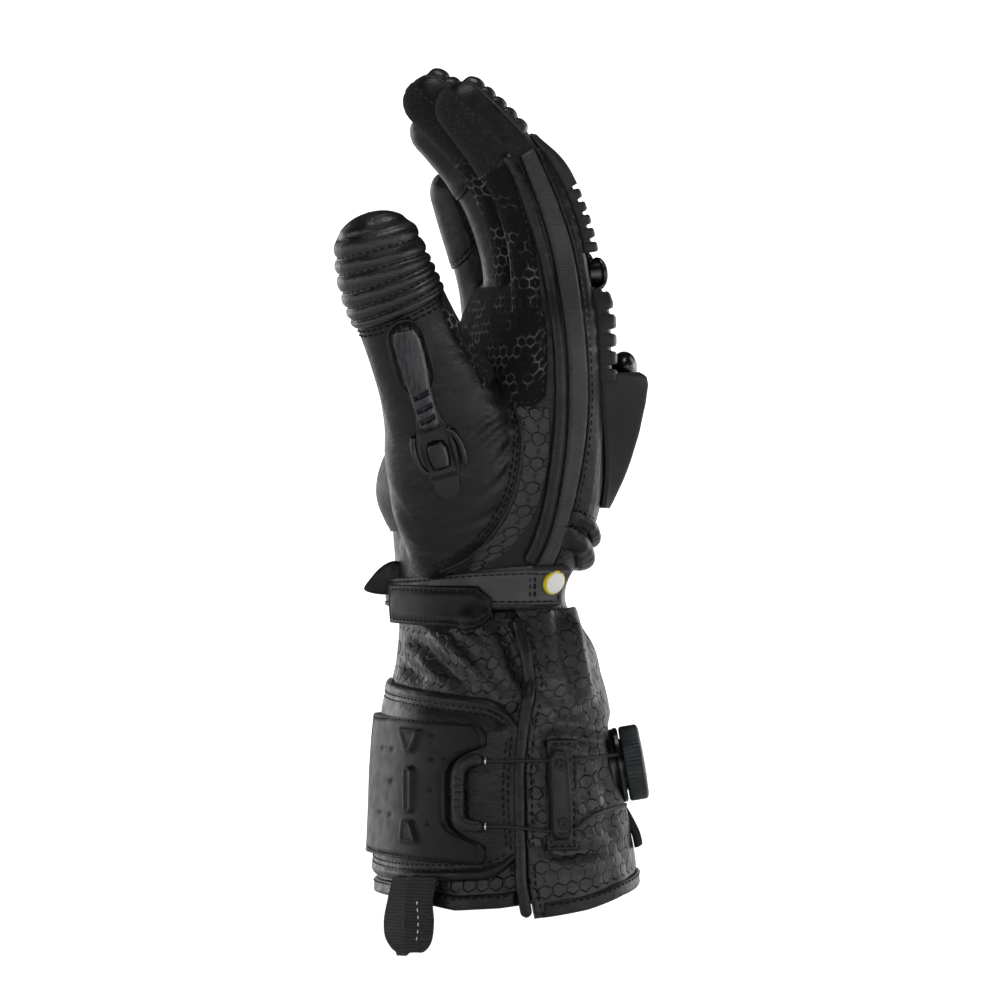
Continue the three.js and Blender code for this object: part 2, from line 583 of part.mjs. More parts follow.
// The dial on the back of the cuff: a base, a spool that turns in it, and a knob that
// turns with the spool and pulls out along it
const DIAL_AXIS = new THREE.Vector3(0.985, 0, 0.17).normalize();
const DIAL_CENTRE = new THREE.Vector3(47, -5, 47.8);
const KNOB_SIDES = 20;
const SPOOL_RADIUS = 9.5;
const BASE_TOP = -4.6;
const STUD_RADIUS = 4;
const STUD_TOP = -2.4;
const RIM = 2;
const half = KNOB_THICK / 2;
onCuff('dial_base', turned([[0, -8], [14.2, -8], [14.6, -6.2], [13.4, BASE_TOP], [0, BASE_TOP]],
  KNOB_SIDES, DIAL_CENTRE, DIAL_AXIS).subtract(laceClear), glossPlastic);
add('dial_stud', turned([[0, BASE_TOP + GAP], [STUD_RADIUS, BASE_TOP + GAP], [STUD_RADIUS, STUD_TOP],
  [0, STUD_TOP]], KNOB_SIDES, DIAL_CENTRE, DIAL_AXIS), glossPlastic);
add('dial_spool', turned([[STUD_RADIUS + GAP, -4.2], [SPOOL_RADIUS, -4.2], [SPOOL_RADIUS, 0.5],
  [STUD_RADIUS + GAP, 0.5], [STUD_RADIUS + GAP, -4.2]], KNOB_SIDES, DIAL_CENTRE, DIAL_AXIS),
glossPlastic);
const KNOB_PROFILE = [[SPOOL_RADIUS + GAP, -half], [KNOB_RADIUS - 0.8, -half],
  [KNOB_RADIUS, -half + 0.8], [KNOB_RADIUS, half - 1], [KNOB_RADIUS - 1, half], [0, half],
  [0, half - RIM], [SPOOL_RADIUS + GAP, half - RIM], [SPOOL_RADIUS + GAP, -half]];
add('dial_knob', turned(KNOB_PROFILE, KNOB_SIDES, DIAL_CENTRE, DIAL_AXIS), knobRubber);
const TONGUE = { width: 15, thick: 2.6 };
const TONGUE_LINE = [[40.6, -5, 32.6], [42.4, -5, 27.4], [45.2, -5, 18.8]];
const tongue = ribbon(TONGUE_LINE.map((p) => new THREE.Vector3(...p)),
  new THREE.Vector3(0, TONGUE.width, 0), TONGUE.thick);
const dialClear = turned([[0, -12.4], [14.6, -12.4], [15, -4], [0, -4]], KNOB_SIDES,
  DIAL_CENTRE, DIAL_AXIS);
onCuff('dial_tongue', tongue.subtract(dialClear).subtract(laceClear), rubber);

// The wrist strap with its tab, its snap and the folded end behind it
const STRAP_ENDS = { from: -62, to: -300 };
const strapAt = (r, c) => {
  const deg = mix(STRAP_ENDS.from, STRAP_ENDS.to, 1 - c);
  const slope = smooth(deg, -200, -80);
  return [mix(WRIST_SEAM_Z + 2 * GAP, mix(115, 120, slope), r), deg];
};
const strapGrid = { rows: 2, columns: 15, at: strapAt };
const strapTop = ABOVE + STRAP_THICK;
onHand('wrist_strap', overlay(sleeve, { ...strapGrid, top: strapTop }), suede);
const strapClear = overlay(sleeve, { ...strapGrid, top: strapTop + GAP, base: 0 });
const tabBase = strapTop + 0.7;
const tabTop = tabBase + 2;
const TAB_POINT = 0.86;
const tabAt = (r, c) => {
  const nip = 4.5 * clamp((c - TAB_POINT) / (1 - TAB_POINT), 0, 1);
  const z = mix(mix(98.6, 96.2, c) + nip, mix(112.6, 112.4, c) - nip, r);
  return [z, mix(-222, sleeve.facing(z, -4.8, tabTop), c)];
};
const strapTab = overlay(sleeve, { rows: 2, columns: [0, 0.25, 0.5, TAB_POINT, 1],
  at: tabAt, top: tabTop, base: tabBase });
onCuff('strap_tab', strapTab.subtract(strapClear).subtract(edgeClear), rubber);
const SNAP = { x: 16.8, z: 113.8, radius: 4.6 };
const snapDeg = sleeve.facing(SNAP.z, SNAP.x, strapTop);
const snapPoint = sleeve.point(SNAP.z, snapDeg, strapTop + 1);
const snapOut = sleeve.normal(SNAP.z, snapDeg);
add('snap', turned([[0, 0], [SNAP.radius, 0], [SNAP.radius, 1], [SNAP.radius - 1.2, 1.8], [0, 2.2]],
  14, snapPoint, snapOut), capWhite);
const wing = new THREE.Shape([[-52.6, 110.6], [-44, 108.6], [-36, 109], [-34, 119], [-41, 121.6],
  [-47, 117.6]].map(([x, z]) => new THREE.Vector2(x, z)));
const wingSolid = new THREE.ExtrudeGeometry(wing, { depth: 2.4, bevelEnabled: false });
wingSolid.rotateX(Math.PI / 2);
wingSolid.translate(0, 4, 0);
onHand('strap_end', solid(wingSolid).subtract(strapClear)
  .subtract(overlay(sleeve, { rows: 1, columns: 6, at: tabAt, top: tabTop + GAP, base: 0 })), leather);

// The thumb's quilted tip and its moulded slider
const rollHeight = (share, rolls) => Math.abs(Math.sin(Math.PI * share * rolls)) ** 0.6;
const thumb = limbs.thumb;
const THUMB_ROLLS = 6;
const THUMB_QUILT = { from: 95, to: 129, wrap: 90 };
const rollRows = (rolls) => spread(0, 1, rolls * 2);
const quiltTaper = (r) => mix(r, r ** 1.25, 0.7);
onHand('thumb_quilt', overlay(thumb, {
  rows: rollRows(THUMB_ROLLS), columns: 6,
  at: (r, c) => [mix(THUMB_QUILT.from, THUMB_QUILT.to, quiltTaper(r)),
    mix(-THUMB_QUILT.wrap, THUMB_QUILT.wrap, c)],
  top: (r) => ABOVE + 0.6 + RIB_HEIGHT * 0.7 * rollHeight(r, THUMB_ROLLS),
}), leather);
const SLIDER = { top: [-38.6, 203.5], bottom: [-19.5, 145], wide: 6.6, narrow: 3.6 };
const sliderLine = (r, c) => {
  const end = Math.sqrt(Math.max(0.05, 1 - Math.abs(2 * r - 1) ** 6));
  const halfWidth = mix(SLIDER.narrow, SLIDER.wide, smooth(r, 0, 0.5)) * end;
  return [mix(SLIDER.bottom[0], SLIDER.top[0], r) + halfWidth * (2 * c - 1),
    mix(SLIDER.bottom[1], SLIDER.top[1], r) + 1.5 * (2 * c - 1)];
};
onHand('thumb_slider', applique({ rows: 13, columns: 4, at: sliderLine,
  top: (r, c) => {
    const crown = Math.sin(Math.PI * mix(0.12, 0.88, c));
    const slotted = r > 0.3 && r < 0.62;
    const slots = slotted ? 0.55 + 0.45 * Math.abs(Math.cos(Math.PI * (r - 0.3) * 9.4)) : 1;
    return ABOVE + 0.8 + 2.6 * crown * slots;
  } }), glossPlastic);

// The quilted backs of the fingertips, the armour along the fingers and its rivets
const TEETH = 5;
const toothRows = (teeth, share) => [0].concat(...spread(0, teeth - 1, teeth - 1).map((k) =>
  [0.34, 0.36, 0.98, 1].map((step) => ((k + step) / teeth) * share)));
const toothDrop = (r, teeth, share) => {
  const place = (r / share) * teeth;
  return r < share && place % 1 > 0.35 && place % 1 < 0.99 ? 1.9 : 0;
};
const FINGER_ROLLS = 4;
const RIVET_AT = { index: 33, middle: 33, ring: 31, little: 31 };
for (const name of FINGERS) {
  const limb = limbs[name];
  onHand(`${name}_quilt`, overlay(limb, {
    rows: rollRows(FINGER_ROLLS), columns: 4,
    at: (r, c) => [mix(limb.end - 20, limb.end + 1.5, r), mix(-72, 72, c)],
    top: (r, c) => ABOVE + 0.6 + RIB_HEIGHT * rollHeight(r, FINGER_ROLLS)
      * Math.sin(Math.PI * mix(0.15, 0.85, c)),
  }), leather);
  const from = RIVET_AT[name] + 6.5;
  onHand(`${name}_armour`, overlay(limb, { rows: toothRows(TEETH, 0.5).concat([0.7, 1]), columns: 2,
    at: (r, c) => [mix(from, limb.end - 23, r), mix(-36, 36, c) * mix(1, 0.8, r)],
    top: (r, c) => 4.8 - toothDrop(r, TEETH, 0.5) - 2.2 * smooth(r, 0.62, 1)
      - (c === 0.5 ? 0 : 0.8) }), plastic);
  const root = limb.point(RIVET_AT[name], 0, 0);
  const out = root.clone().sub(limb.point(RIVET_AT[name], 0, -4)).normalize();
  onHand(`${name}_rivet`, turned([[0, 0.8], [RIVET_RADIUS - 0.8, 0.8], [RIVET_RADIUS - 0.8, 3.4],
    [RIVET_RADIUS + 0.4, 3.8], [RIVET_RADIUS - 1, 6.6], [0, 7]], 10, root, out), glossPlastic);
}

// Knuckle links between the rivets and the shield over the back of the hand
const KNUCKLE = { low: 186, high: 218.6 };
const KNUCKLE_DEG = { index: -43, middle: -13, ring: 14, little: 42 };
let linksClear = null;
for (const name of FINGERS) {
  const link = (spare) => ({ columns: 1, at: (r, c) => [mix(KNUCKLE.low, KNUCKLE.high, r),
    KNUCKLE_DEG[name] + mix(-8.5 - spare, 8.5 + spare, c)] });
  onHand(`${name}_knuckle`, overlay(sleeve, { ...link(0), rows: toothRows(TEETH, 1),
    top: (r) => 5 - toothDrop(r, TEETH, 1) }), plastic);
  const clear = overlay(sleeve, { ...link(0.8), rows: 4, top: 5.9 });
  linksClear = linksClear ? linksClear.add(clear) : clear;
}
const SHIELD = [
  { r: 0, height: 1.4 }, { r: 0.15, height: 4 }, { r: 0.35, height: 8 }, { r: 0.55, height: 11.4 },
  { r: 0.75, height: 14.2 }, { r: 0.9, height: 15.4 }, { r: 1, height: 13.4 },
];
const SHIELD_EDGES = { near: -46, far: 50, wall: 0.07, thick: 2.2 };
const shieldAt = (r, c) => [
  mix(141, mix(189.5, 199, smooth(c, 0.35, 0.7)), r), mix(SHIELD_EDGES.near, SHIELD_EDGES.far, c)];
const shieldTop = (r, c) => ABOVE + 1.2 + lookup(SHIELD, 'r', r, 'height')
  * smooth(Math.min(c, 1 - c), 0, SHIELD_EDGES.wall) ** 0.7;
const shieldHollow = (r, c) => Math.max(shieldTop(r, c) - SHIELD_EDGES.thick, ABOVE);
onHand('hand_shield', overlay(sleeve, { rows: [0, 0.15, 0.4, 0.65, 0.9, 1],
  columns: [0, 0.025, 0.07, 0.26, 0.5, 0.74, 0.93, 0.975, 1], at: shieldAt,
  top: shieldTop, base: shieldHollow }).subtract(linksClear), plastic);

// Padded rolls at the back of the wrist, under the shield
const WRIST_ROLLS = [
  { name: 'wrist_roll_upper', z: 137, half: 2.4, height: 2.8, from: -72 },
  { name: 'wrist_roll_lower', z: 131, half: 3, height: 3.2, from: -78 },
];
for (const roll of WRIST_ROLLS)
  onHand(roll.name, overlay(sleeve, { rows: 3, columns: 9,
    at: (r, c) => [roll.z + mix(-roll.half, roll.half, r) - 8 * smooth(c, 0, 0.35),
      mix(roll.from, 62, c)],
    top: (r, c) => ABOVE + 0.6 + roll.height * Math.sin(Math.PI * mix(0.08, 0.92, r))
      * smooth(Math.min(c, 1 - c), 0, 0.2) })
    .subtract(strapClear), leather);

// Suede and grip pieces of the palm and the touch pads of two fingertips
onHand('palm_patch', overlay(sleeve, { rows: 3, columns: 8,
  at: (r, c) => [mix(178 + 10 * smooth(Math.abs(2 * c - 1), 0.5, 1), 217.5, r), mix(-252, -121, c)],
  top: ABOVE + 1.1 }), suede);
for (const name of ['index', 'middle']) {
  const limb = limbs[name];
  onHand(`${name}_touch_pad`, overlay(limb, { rows: 5, columns: 4,
    at: (r, c) => [mix(limb.end - 27 + 5 * Math.abs(2 * c - 1) ** 2, limb.end + 6.5, r),
      -180 + mix(-72, 72, c) * mix(0.8, 1, smooth(r, 0, 0.25))],
    top: ABOVE + 1.1 }), suede);
}
const heelPad = overlay(sleeve, { rows: 6, columns: 6,
  at: (r, c) => [mix(132, 166, r), mix(-250, -168, c)],
  top: (r, c) => ABOVE + 0.6 + 7.4 * Math.sin(Math.PI * mix(0.04, 0.96, r)) ** 0.7
    * Math.sin(Math.PI * mix(0.06, 0.94, c)) ** 0.7 });
onHand('palm_slider', heelPad, rubber);

// The raised seam from the index finger down the side of the hand
const SIDE_SEAM = [
  [-2.4, 264], [5.6, 252], [12.2, 235], [16.2, 216], [18.6, 199], [19.4, 180], [18.2, 162],
  [15.6, 148], [11.6, 137], [8.6, 128],
];
const PIPING_RADIUS = 1.7;
const seamPoints = SIDE_SEAM.map(([x, z]) =>
  seen(x, z).add(new THREE.Vector3(0, -PIPING_RADIUS - ABOVE, 0)));
onHand('side_piping', cord(seamPoints, PIPING_RADIUS, 6, 18), leather);

// The webbing loop that hangs under the flap
const LOOP = [
  [-33.5, -37.5, 5.4], [-35.5, -40.5, -1], [-39.4, -43.5, -9.5], [-39, -43.5, -15.5], [-35, -39.5, -19.8],
  [-30.5, -35.5, -17.5], [-28.6, -33.8, -11.5], [-29, -35.4, -6.5],
];
onCuff('pull_loop', ribbon(LOOP.map((p) => new THREE.Vector3(...p)),
  new THREE.Vector3(10.6, -9.2, 0), WEBBING_THICK).subtract(flapClear), webbing);

export default glove;
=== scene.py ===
"""A leather motorcycle gauntlet glove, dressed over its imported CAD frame."""
import math

import bmesh
import bpy
import numpy as np
from mathutils import Matrix, Vector
from mathutils.bvhtree import BVHTree


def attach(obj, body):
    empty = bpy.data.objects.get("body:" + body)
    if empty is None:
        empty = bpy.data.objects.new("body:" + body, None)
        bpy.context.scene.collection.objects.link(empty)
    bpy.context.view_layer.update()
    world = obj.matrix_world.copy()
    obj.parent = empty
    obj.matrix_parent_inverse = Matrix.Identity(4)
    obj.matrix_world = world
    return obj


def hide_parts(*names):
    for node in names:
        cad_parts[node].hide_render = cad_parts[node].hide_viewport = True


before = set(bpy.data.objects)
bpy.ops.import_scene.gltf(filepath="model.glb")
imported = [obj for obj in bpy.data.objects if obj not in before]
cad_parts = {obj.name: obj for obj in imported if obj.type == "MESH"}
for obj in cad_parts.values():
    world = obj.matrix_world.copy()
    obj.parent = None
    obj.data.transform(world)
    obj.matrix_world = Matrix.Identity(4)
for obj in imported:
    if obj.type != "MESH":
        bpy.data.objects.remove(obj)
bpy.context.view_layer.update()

MM = 0.001
LEATHER = 2.0
PHOTO_STEP = 0.365  # a pixel's width in millimetres
ORIGIN_AT = (505, 893)  # the pixel where the frame's origin lies


def at_photo(px, py):
    """Where a point of the picture lies in the frame: x and z, in millimetres."""
    return ((px - ORIGIN_AT[0]) * PHOTO_STEP, (ORIGIN_AT[1] - py) * PHOTO_STEP)


# Camera: a long lens, level, from the thumb's side
CAMERA_DISTANCE = 4.0
PHOTO_SIZE = 1000
SENSOR = 36
lens = bpy.data.cameras.new("view_from_thumb_side")
lens.sensor_width = SENSOR
lens.lens = SENSOR * CAMERA_DISTANCE / (PHOTO_SIZE * PHOTO_STEP * MM)
camera = bpy.data.objects.new("view_from_thumb_side", lens)
bpy.context.collection.objects.link(camera)
aim_x, aim_z = at_photo(PHOTO_SIZE / 2, PHOTO_SIZE / 2)
camera.location = (aim_x * MM, -CAMERA_DISTANCE, aim_z * MM)
camera.rotation_euler = (math.pi / 2, 0, 0)
bpy.context.scene.camera = camera

# The leather's form, from the same tables as the solids.
# Columns: x, y, z of the middle; breadth, depth: half sizes; turn: degrees.
SLEEVE = [
    (-0.8, 2, -12, 52.5, 46.5, 16), (-0.8, 2, 3, 52, 45.5, 16), (-1.5, 2, 25, 50.5, 43, 18),
    (-3.2, 1, 48, 48, 40, 20), (-3.8, 0, 70, 45, 37, 22), (-4.3, 0, 88, 41.5, 33, 25),
    (-6.4, 0, 97, 39.5, 29.5, 28), (-9.4, 0, 106, 38, 27, 30), (-9.0, 0, 114, 39, 27, 30),
    (-6.5, 0, 122, 42, 28.5, 30), (-4.0, 0, 136, 47, 31, 30), (-2.5, 0, 150, 49.5, 31.5, 29),
    (0.0, 0, 165, 51, 28.5, 26), (3.5, 0, 180, 51.5, 25, 21), (7.5, 0, 198, 51, 21.5, 17),
    (9.5, 0, 212, 49.5, 19, 16), (9.5, 0, 221, 46.5, 14.5, 16),
]
DIGITS = {
    "index": (9, 0, [
        (17.5, -33, 194, 12.0, 14.5, 26), (16.5, -33.5, 216, 12.0, 14.5, 27),
        (14.5, -34, 235, 11.8, 13.8, 28), (8.8, -34.5, 253, 11.4, 12.8, 28),
        (-0.5, -34.5, 269, 10.8, 11.6, 28), (-8.5, -34.5, 279, 10.3, 10.6, 28),
        (-15, -34.5, 286, 9.6, 9.8, 28)]),
    "middle": (9, 0, [
        (13, -9.5, 196, 11.6, 14.5, 20), (12, -9.5, 216, 11.6, 14.5, 20),
        (9.5, -10, 236, 11.5, 13.8, 20), (3, -10.5, 255, 11.2, 12.8, 20),
        (-8.5, -10.5, 272, 10.8, 11.6, 20), (-19.5, -10.5, 283, 10.3, 10.8, 20),
        (-27, -10.5, 289.5, 9.8, 9.8, 20)]),
    "ring": (8.5, 0, [
        (7, 13.5, 196, 11.2, 14, 18), (6.5, 13.5, 214, 11.2, 14, 18), (4, 13.2, 233, 11.0, 13.2, 18),
        (-2.5, 13, 251, 10.8, 12.2, 18), (-11, 13, 265, 10.4, 11.2, 18),
        (-19, 13, 274, 10.0, 10.4, 18), (-25, 13, 279.5, 9.4, 9.6, 18)]),
    "little": (9, 0, [
        (-2, 35, 192, 10.0, 12.4, 16), (-3.5, 35.5, 208, 10.0, 12.4, 16),
        (-5.5, 35.5, 222, 9.8, 11.8, 16), (-9.5, 35.5, 236, 9.6, 11.2, 16),
        (-14, 35.5, 248, 9.2, 10.4, 16), (-17.5, 35.5, 257, 8.8, 9.4, 16)]),
    "thumb": (13, 6, [
        (-27, -30, 121, 9, 13, -84), (-23, -32, 134, 19, 16.5, -84), (-19.5, -34, 150, 24.5, 19, -84),
        (-19.5, -37, 166, 25.5, 19, -84), (-24.5, -42, 182, 22, 17.5, -84),
        (-32, -47, 198, 18.5, 16, -84), (-38.5, -51, 213, 17.2, 15, -84),
        (-43, -53, 224, 16.6, 14.5, -84), (-45.5, -54, 233, 15.4, 13.5, -84)]),
}
FINGERS = ("index", "middle", "ring", "little")
FINGER_SLACK = 0.9  # the fingers' breadth against the solids', so that a gap shows between them
THUMB_SLACK = 0.96  # the thumb's breadth against the solid's, as the photo's outline asks
# The soft cuff's folds. Columns: from z and degrees, to z and degrees, width, height.
FOLDS = [
    (94, -150, 72, -108, 5, 1.8), (98, -132, 68, -93, 4.5, 2.2), (98, -112, 78, -88, 4, 1.6),
    (92, 60, 66, 96, 6, 1.6), (88, 20, 84, 58, 5, 1.4),
]
WRIST_SEAM_Z = 104


def smooth(value, low, high):
    """0 below low, 1 above high, and a soft step between."""
    t = np.clip((np.asarray(value, float) - low) / (high - low), 0, 1)
    return t * t * (3 - 2 * t)


def mix(a, b, t):
    """The value a share t of the way from a to b."""
    return a + (b - a) * t


def column(values, place):
    """A table's values between its rows, on one smooth curve."""
    last = len(values) - 1
    i = np.clip(np.floor(place).astype(int), 0, last - 1)
    t = place - i
    if values.ndim > 1:
        t = t[..., None]
    a, b, c, d = (values[np.clip(i + k, 0, last)] for k in (-1, 0, 1, 2))
    return 0.5 * (2 * b + (c - a) * t + (2 * a - 5 * b + 4 * c - d) * t ** 2
                  + (3 * b - a - 3 * c + d) * t ** 3)


def fold_height(z, degrees):
    """How far the cuff's folds stand out at a level and an angle."""
    height = np.zeros_like(z)
    for from_z, from_deg, to_z, to_deg, width, tall in FOLDS:
        t = np.clip((from_z - z) / (from_z - to_z), 0, 1)
        away = ((degrees - mix(from_deg, to_deg, t) + 180) % 360 - 180) * 0.7
        beyond = np.maximum(0, np.maximum(z - from_z, to_z - z))
        height += tall * np.exp(-(away ** 2 + beyond ** 2) / width ** 2)
    return height


def creases(x, z, crease_lines, width):
    """How deep creases along lines of the picture cut in, with soft swells beside them."""
    total = np.zeros_like(x)
    for line in crease_lines:
        corners = np.array([at_photo(*p) for p in line])
        dense = column(corners, np.linspace(0, len(corners) - 1, 40))
        apart = np.hypot(x[..., None] - dense[:, 0], z[..., None] - dense[:, 1])
        fade = np.sin(math.pi * mix(0.04, 0.96, apart.argmin(axis=-1) / 39)) ** 0.6
        apart = apart.min(axis=-1)
        total += fade * (np.exp(-(apart / width) ** 2) - 0.45 * np.exp(-((apart - 2 * width) / width) ** 2))
    return total


class Limb:
    """A soft tube, read at s along it and at an angle: 0 back, 90 little finger, 180 palm."""

    def __init__(self, rows, cap, heel=0, upright=False, slack=1.0):
        self.rows = np.array(rows, float)
        self.rows[:, 3] *= slack
        self.cap, self.heel, self.upright = cap, heel, upright
        self.places = np.linspace(0, len(rows) - 1, 241)
        middles = column(self.rows, self.places)[:, :3]
        steps = np.linalg.norm(np.diff(middles, axis=0), axis=1)
        self.reach = middles[:, 2] if upright else np.concatenate(([0], np.cumsum(steps)))
        self.start, self.end = self.reach[0], self.reach[-1]

    def point(self, s, degrees, lift=0.0):
        """The points at s along it and at an angle, raised by lift."""
        s, degrees, lift = (np.array(v, float) for v in np.broadcast_arrays(s, degrees, lift))
        place = np.interp(np.clip(s, self.start, self.end), self.reach, self.places)
        row = column(self.rows, place)
        along = np.zeros_like(row[..., :3])
        along[..., 2] = 1
        if not self.upright:
            last = len(self.rows) - 1
            along = (column(self.rows, np.minimum(place + 0.05, last))[..., :3]
                     - column(self.rows, np.maximum(place - 0.05, 0))[..., :3])
            along /= np.linalg.norm(along, axis=-1, keepdims=True)
        turn = np.radians(row[..., 5])
        side = np.stack([-np.sin(turn), np.cos(turn), np.zeros_like(turn)], axis=-1)
        side -= along * (side * along).sum(-1, keepdims=True)
        side /= np.linalg.norm(side, axis=-1, keepdims=True)
        back = np.cross(side, along)
        shrink = np.ones_like(s)
        advance = np.where(s < self.start, s - self.start, 0) + np.where(s > self.end, s - self.end, 0)
        for beyond, size, way in ((s - self.end, self.cap, 1), (self.start - s, self.heel, -1)):
            if size:
                a = np.clip(beyond / size, 0, 1) * math.pi / 2
                shrink = np.where(beyond > 0, np.cos(a), shrink)
                advance = np.where(beyond > 0, way * (size + lift) * np.sin(a), advance)
        c, d = np.cos(np.radians(degrees)), np.sin(np.radians(degrees))
        raised = lift + (fold_height(s, degrees) if self.upright else 0)
        out = shrink * (row[..., 4] + raised) * np.sign(c) * np.abs(c) ** (2 / 2.3)
        aside = shrink * (row[..., 3] + raised) * np.sign(d) * np.abs(d) ** (2 / 2.3)
        return row[..., :3] + along * advance[..., None] + back * out[..., None] + side * aside[..., None]

    def facing(self, s, x, lift=0.0):
        """The angle, on the side that faces the camera, where the surface has this x."""
        angles = np.linspace(-200, 0, 801)
        surface = self.point(s, angles, lift)
        front = int(np.argmin(surface[:, 0]))
        rear = int(np.argmax(surface[:, 0]))
        return float(np.interp(x, surface[front:rear, 0], angles[front:rear]))


sleeve = Limb(SLEEVE, cap=5, upright=True)
limbs = {name: Limb(rows, cap, heel, slack=FINGER_SLACK if name in FINGERS else THUMB_SLACK)
         for name, (cap, heel, rows) in DIGITS.items()}


# Meshes
def show(name, points, faces, finish, uv=None):
    """A new piece from points in millimetres, with its material and its surface map."""
    mesh = bpy.data.meshes.new(name)
    mesh.from_pydata((np.asarray(points) * MM).tolist(), [], faces)
    mesh.polygons.foreach_set("use_smooth", np.ones(len(mesh.polygons), bool))
    if uv is not None:
        corner = np.zeros(len(mesh.loops), int)
        mesh.loops.foreach_get("vertex_index", corner)
        layer = mesh.uv_layers.new(name="surface")
        layer.data.foreach_set("uv", (np.asarray(uv)[corner] * 0.01).ravel())
    mesh.update()
    piece = bpy.data.objects.new(name, mesh)
    bpy.context.collection.objects.link(piece)
    mesh.materials.append(finish)
    return piece


def ring_faces(rings, count, first=0):
    """The faces of a tube of rings, each of count points, with a flat face at either end."""
    faces = []
    for i in range(rings - 1):
        for j in range(count):
            a, b = first + i * count + j, first + i * count + (j + 1) % count
            faces.append((a, b, b + count, a + count))
    faces.append(tuple(first + j for j in reversed(range(count))))
    faces.append(tuple(first + (rings - 1) * count + j for j in range(count)))
    return faces


def flipped(faces):
    """The same faces, turned over."""
    return [face[:1] + face[:0:-1] for face in faces]


def spans(surface):
    """Distances in millimetres over a grid of points: across from its middle, and along it."""
    across = np.linalg.norm(np.diff(surface, axis=1), axis=2)
    across = np.concatenate([np.zeros((len(surface), 1)), np.cumsum(across, axis=1)], axis=1)
    along = np.linalg.norm(np.diff(surface, axis=0), axis=2)
    along = np.concatenate([np.zeros((1, surface.shape[1])), np.cumsum(along, axis=0)], axis=0)
    return across, along


def edge_distance(surface, borders="lrtb"):
    """How far each point of a grid lies from the nearest of these borders."""
    across, along = spans(surface)
    apart = np.full(across.shape, 1e3)
    for border, distance in (("l", across), ("r", across[:, -1:] - across),
                             ("b", along), ("t", along[-1:] - along)):
        if border in borders:
            apart = np.minimum(apart, distance)
    return apart


def grid_normals(surface):
    """The outward directions of a grid of points, each row anticlockwise round the glove."""
    over = np.gradient(surface, axis=1)
    up = np.gradient(surface, axis=0)
    normals = np.cross(over, up)
    return normals / np.maximum(np.linalg.norm(normals, axis=2, keepdims=True), 1e-9)


def lines(length, step, edge=(0, 0.25, 0.7, 1.3, 2.0, 2.7, 3.6)):
    """Shares of a length, close together near its ends."""
    edge = [e for e in edge if e < length * 0.4]
    count = max(1, round((length - 2 * edge[-1]) / step))
    middle = np.linspace(edge[-1], length - edge[-1], count + 1)[1:-1]
    return np.concatenate([edge, middle, [length - e for e in reversed(edge)]]) / length


def rolled(apart, height, roll=1.0):
    """A height that rolls down to nothing at the edge."""
    t = np.clip(apart / roll, 0, 1)
    return height * np.sqrt(1 - (1 - t) ** 2)


def seam(apart, inset, depth):
    """The dent of a line of stitches at some distance from the edge."""
    return depth * np.exp(-((apart - inset) / 0.7) ** 2)


def pad(name, surface, top, finish, base=-0.8, normals=None):
    """A solid laid on a grid of points, from base to top over them."""
    normals = grid_normals(surface) if normals is None else normals
    rows, columns = surface.shape[:2]
    upper = surface + normals * np.broadcast_to(top, surface.shape[:2])[..., None]
    lower = surface + normals * base
    across, along = spans(surface)
    uv = np.stack([across - across[:, columns // 2, None], along], axis=2).reshape(-1, 2)
    count = rows * columns
    faces = []
    for i in range(rows - 1):
        for j in range(columns - 1):
            a = i * columns + j
            b, c, d = a + 1, a + columns + 1, a + columns
            faces.append((a, b, c, d))
            faces.append((a + count, d + count, c + count, b + count))
    rim = [[(0, j) for j in range(columns)], [(rows - 1, j) for j in reversed(range(columns))],
           [(i, columns - 1) for i in range(rows)], [(i, 0) for i in reversed(range(rows))]]
    for line in rim:
        for (i, j), (k, m) in zip(line, line[1:]):
            a, b = i * columns + j, k * columns + m
            faces.append((a, a + count, b + count, b))
    points = np.concatenate([upper.reshape(-1, 3), lower.reshape(-1, 3)])
    return show(name, points, faces, finish, np.concatenate([uv, uv]))


def select_only(piece):
    """Makes this piece the active one and the only one selected."""
    bpy.ops.object.select_all(action="DESELECT")
    piece.select_set(True)
    bpy.context.view_layer.objects.active = piece


def keep_edges(piece, degrees):
    """Shades a piece smooth, apart from its edges that are sharper than this."""
    select_only(piece)
    bpy.ops.object.shade_smooth_by_angle(angle=math.radians(degrees))


def apply_modifier(piece, kind, **settings):
    """Adds a modifier with these settings and applies it."""
    modifier = piece.modifiers.new(kind.lower(), kind)
    for key, value in settings.items():
        setattr(modifier, key, value)
    select_only(piece)
    bpy.ops.object.modifier_apply(modifier=modifier.name)


def join(name, parts):
    """Joins these pieces into one with this name."""
    bpy.ops.object.select_all(action="DESELECT")
    for part in parts:
        part.select_set(True)
    bpy.context.view_layer.objects.active = parts[0]
    bpy.ops.object.join()
    parts[0].name = name
    parts[0].data.name = name
    return parts[0]


def dress(piece, nodes=(), body="glove"):
    """Sets the body a piece rides on, and hides the solids that it stands for."""
    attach(piece, body)
    if nodes:
        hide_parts(*nodes)
    return piece


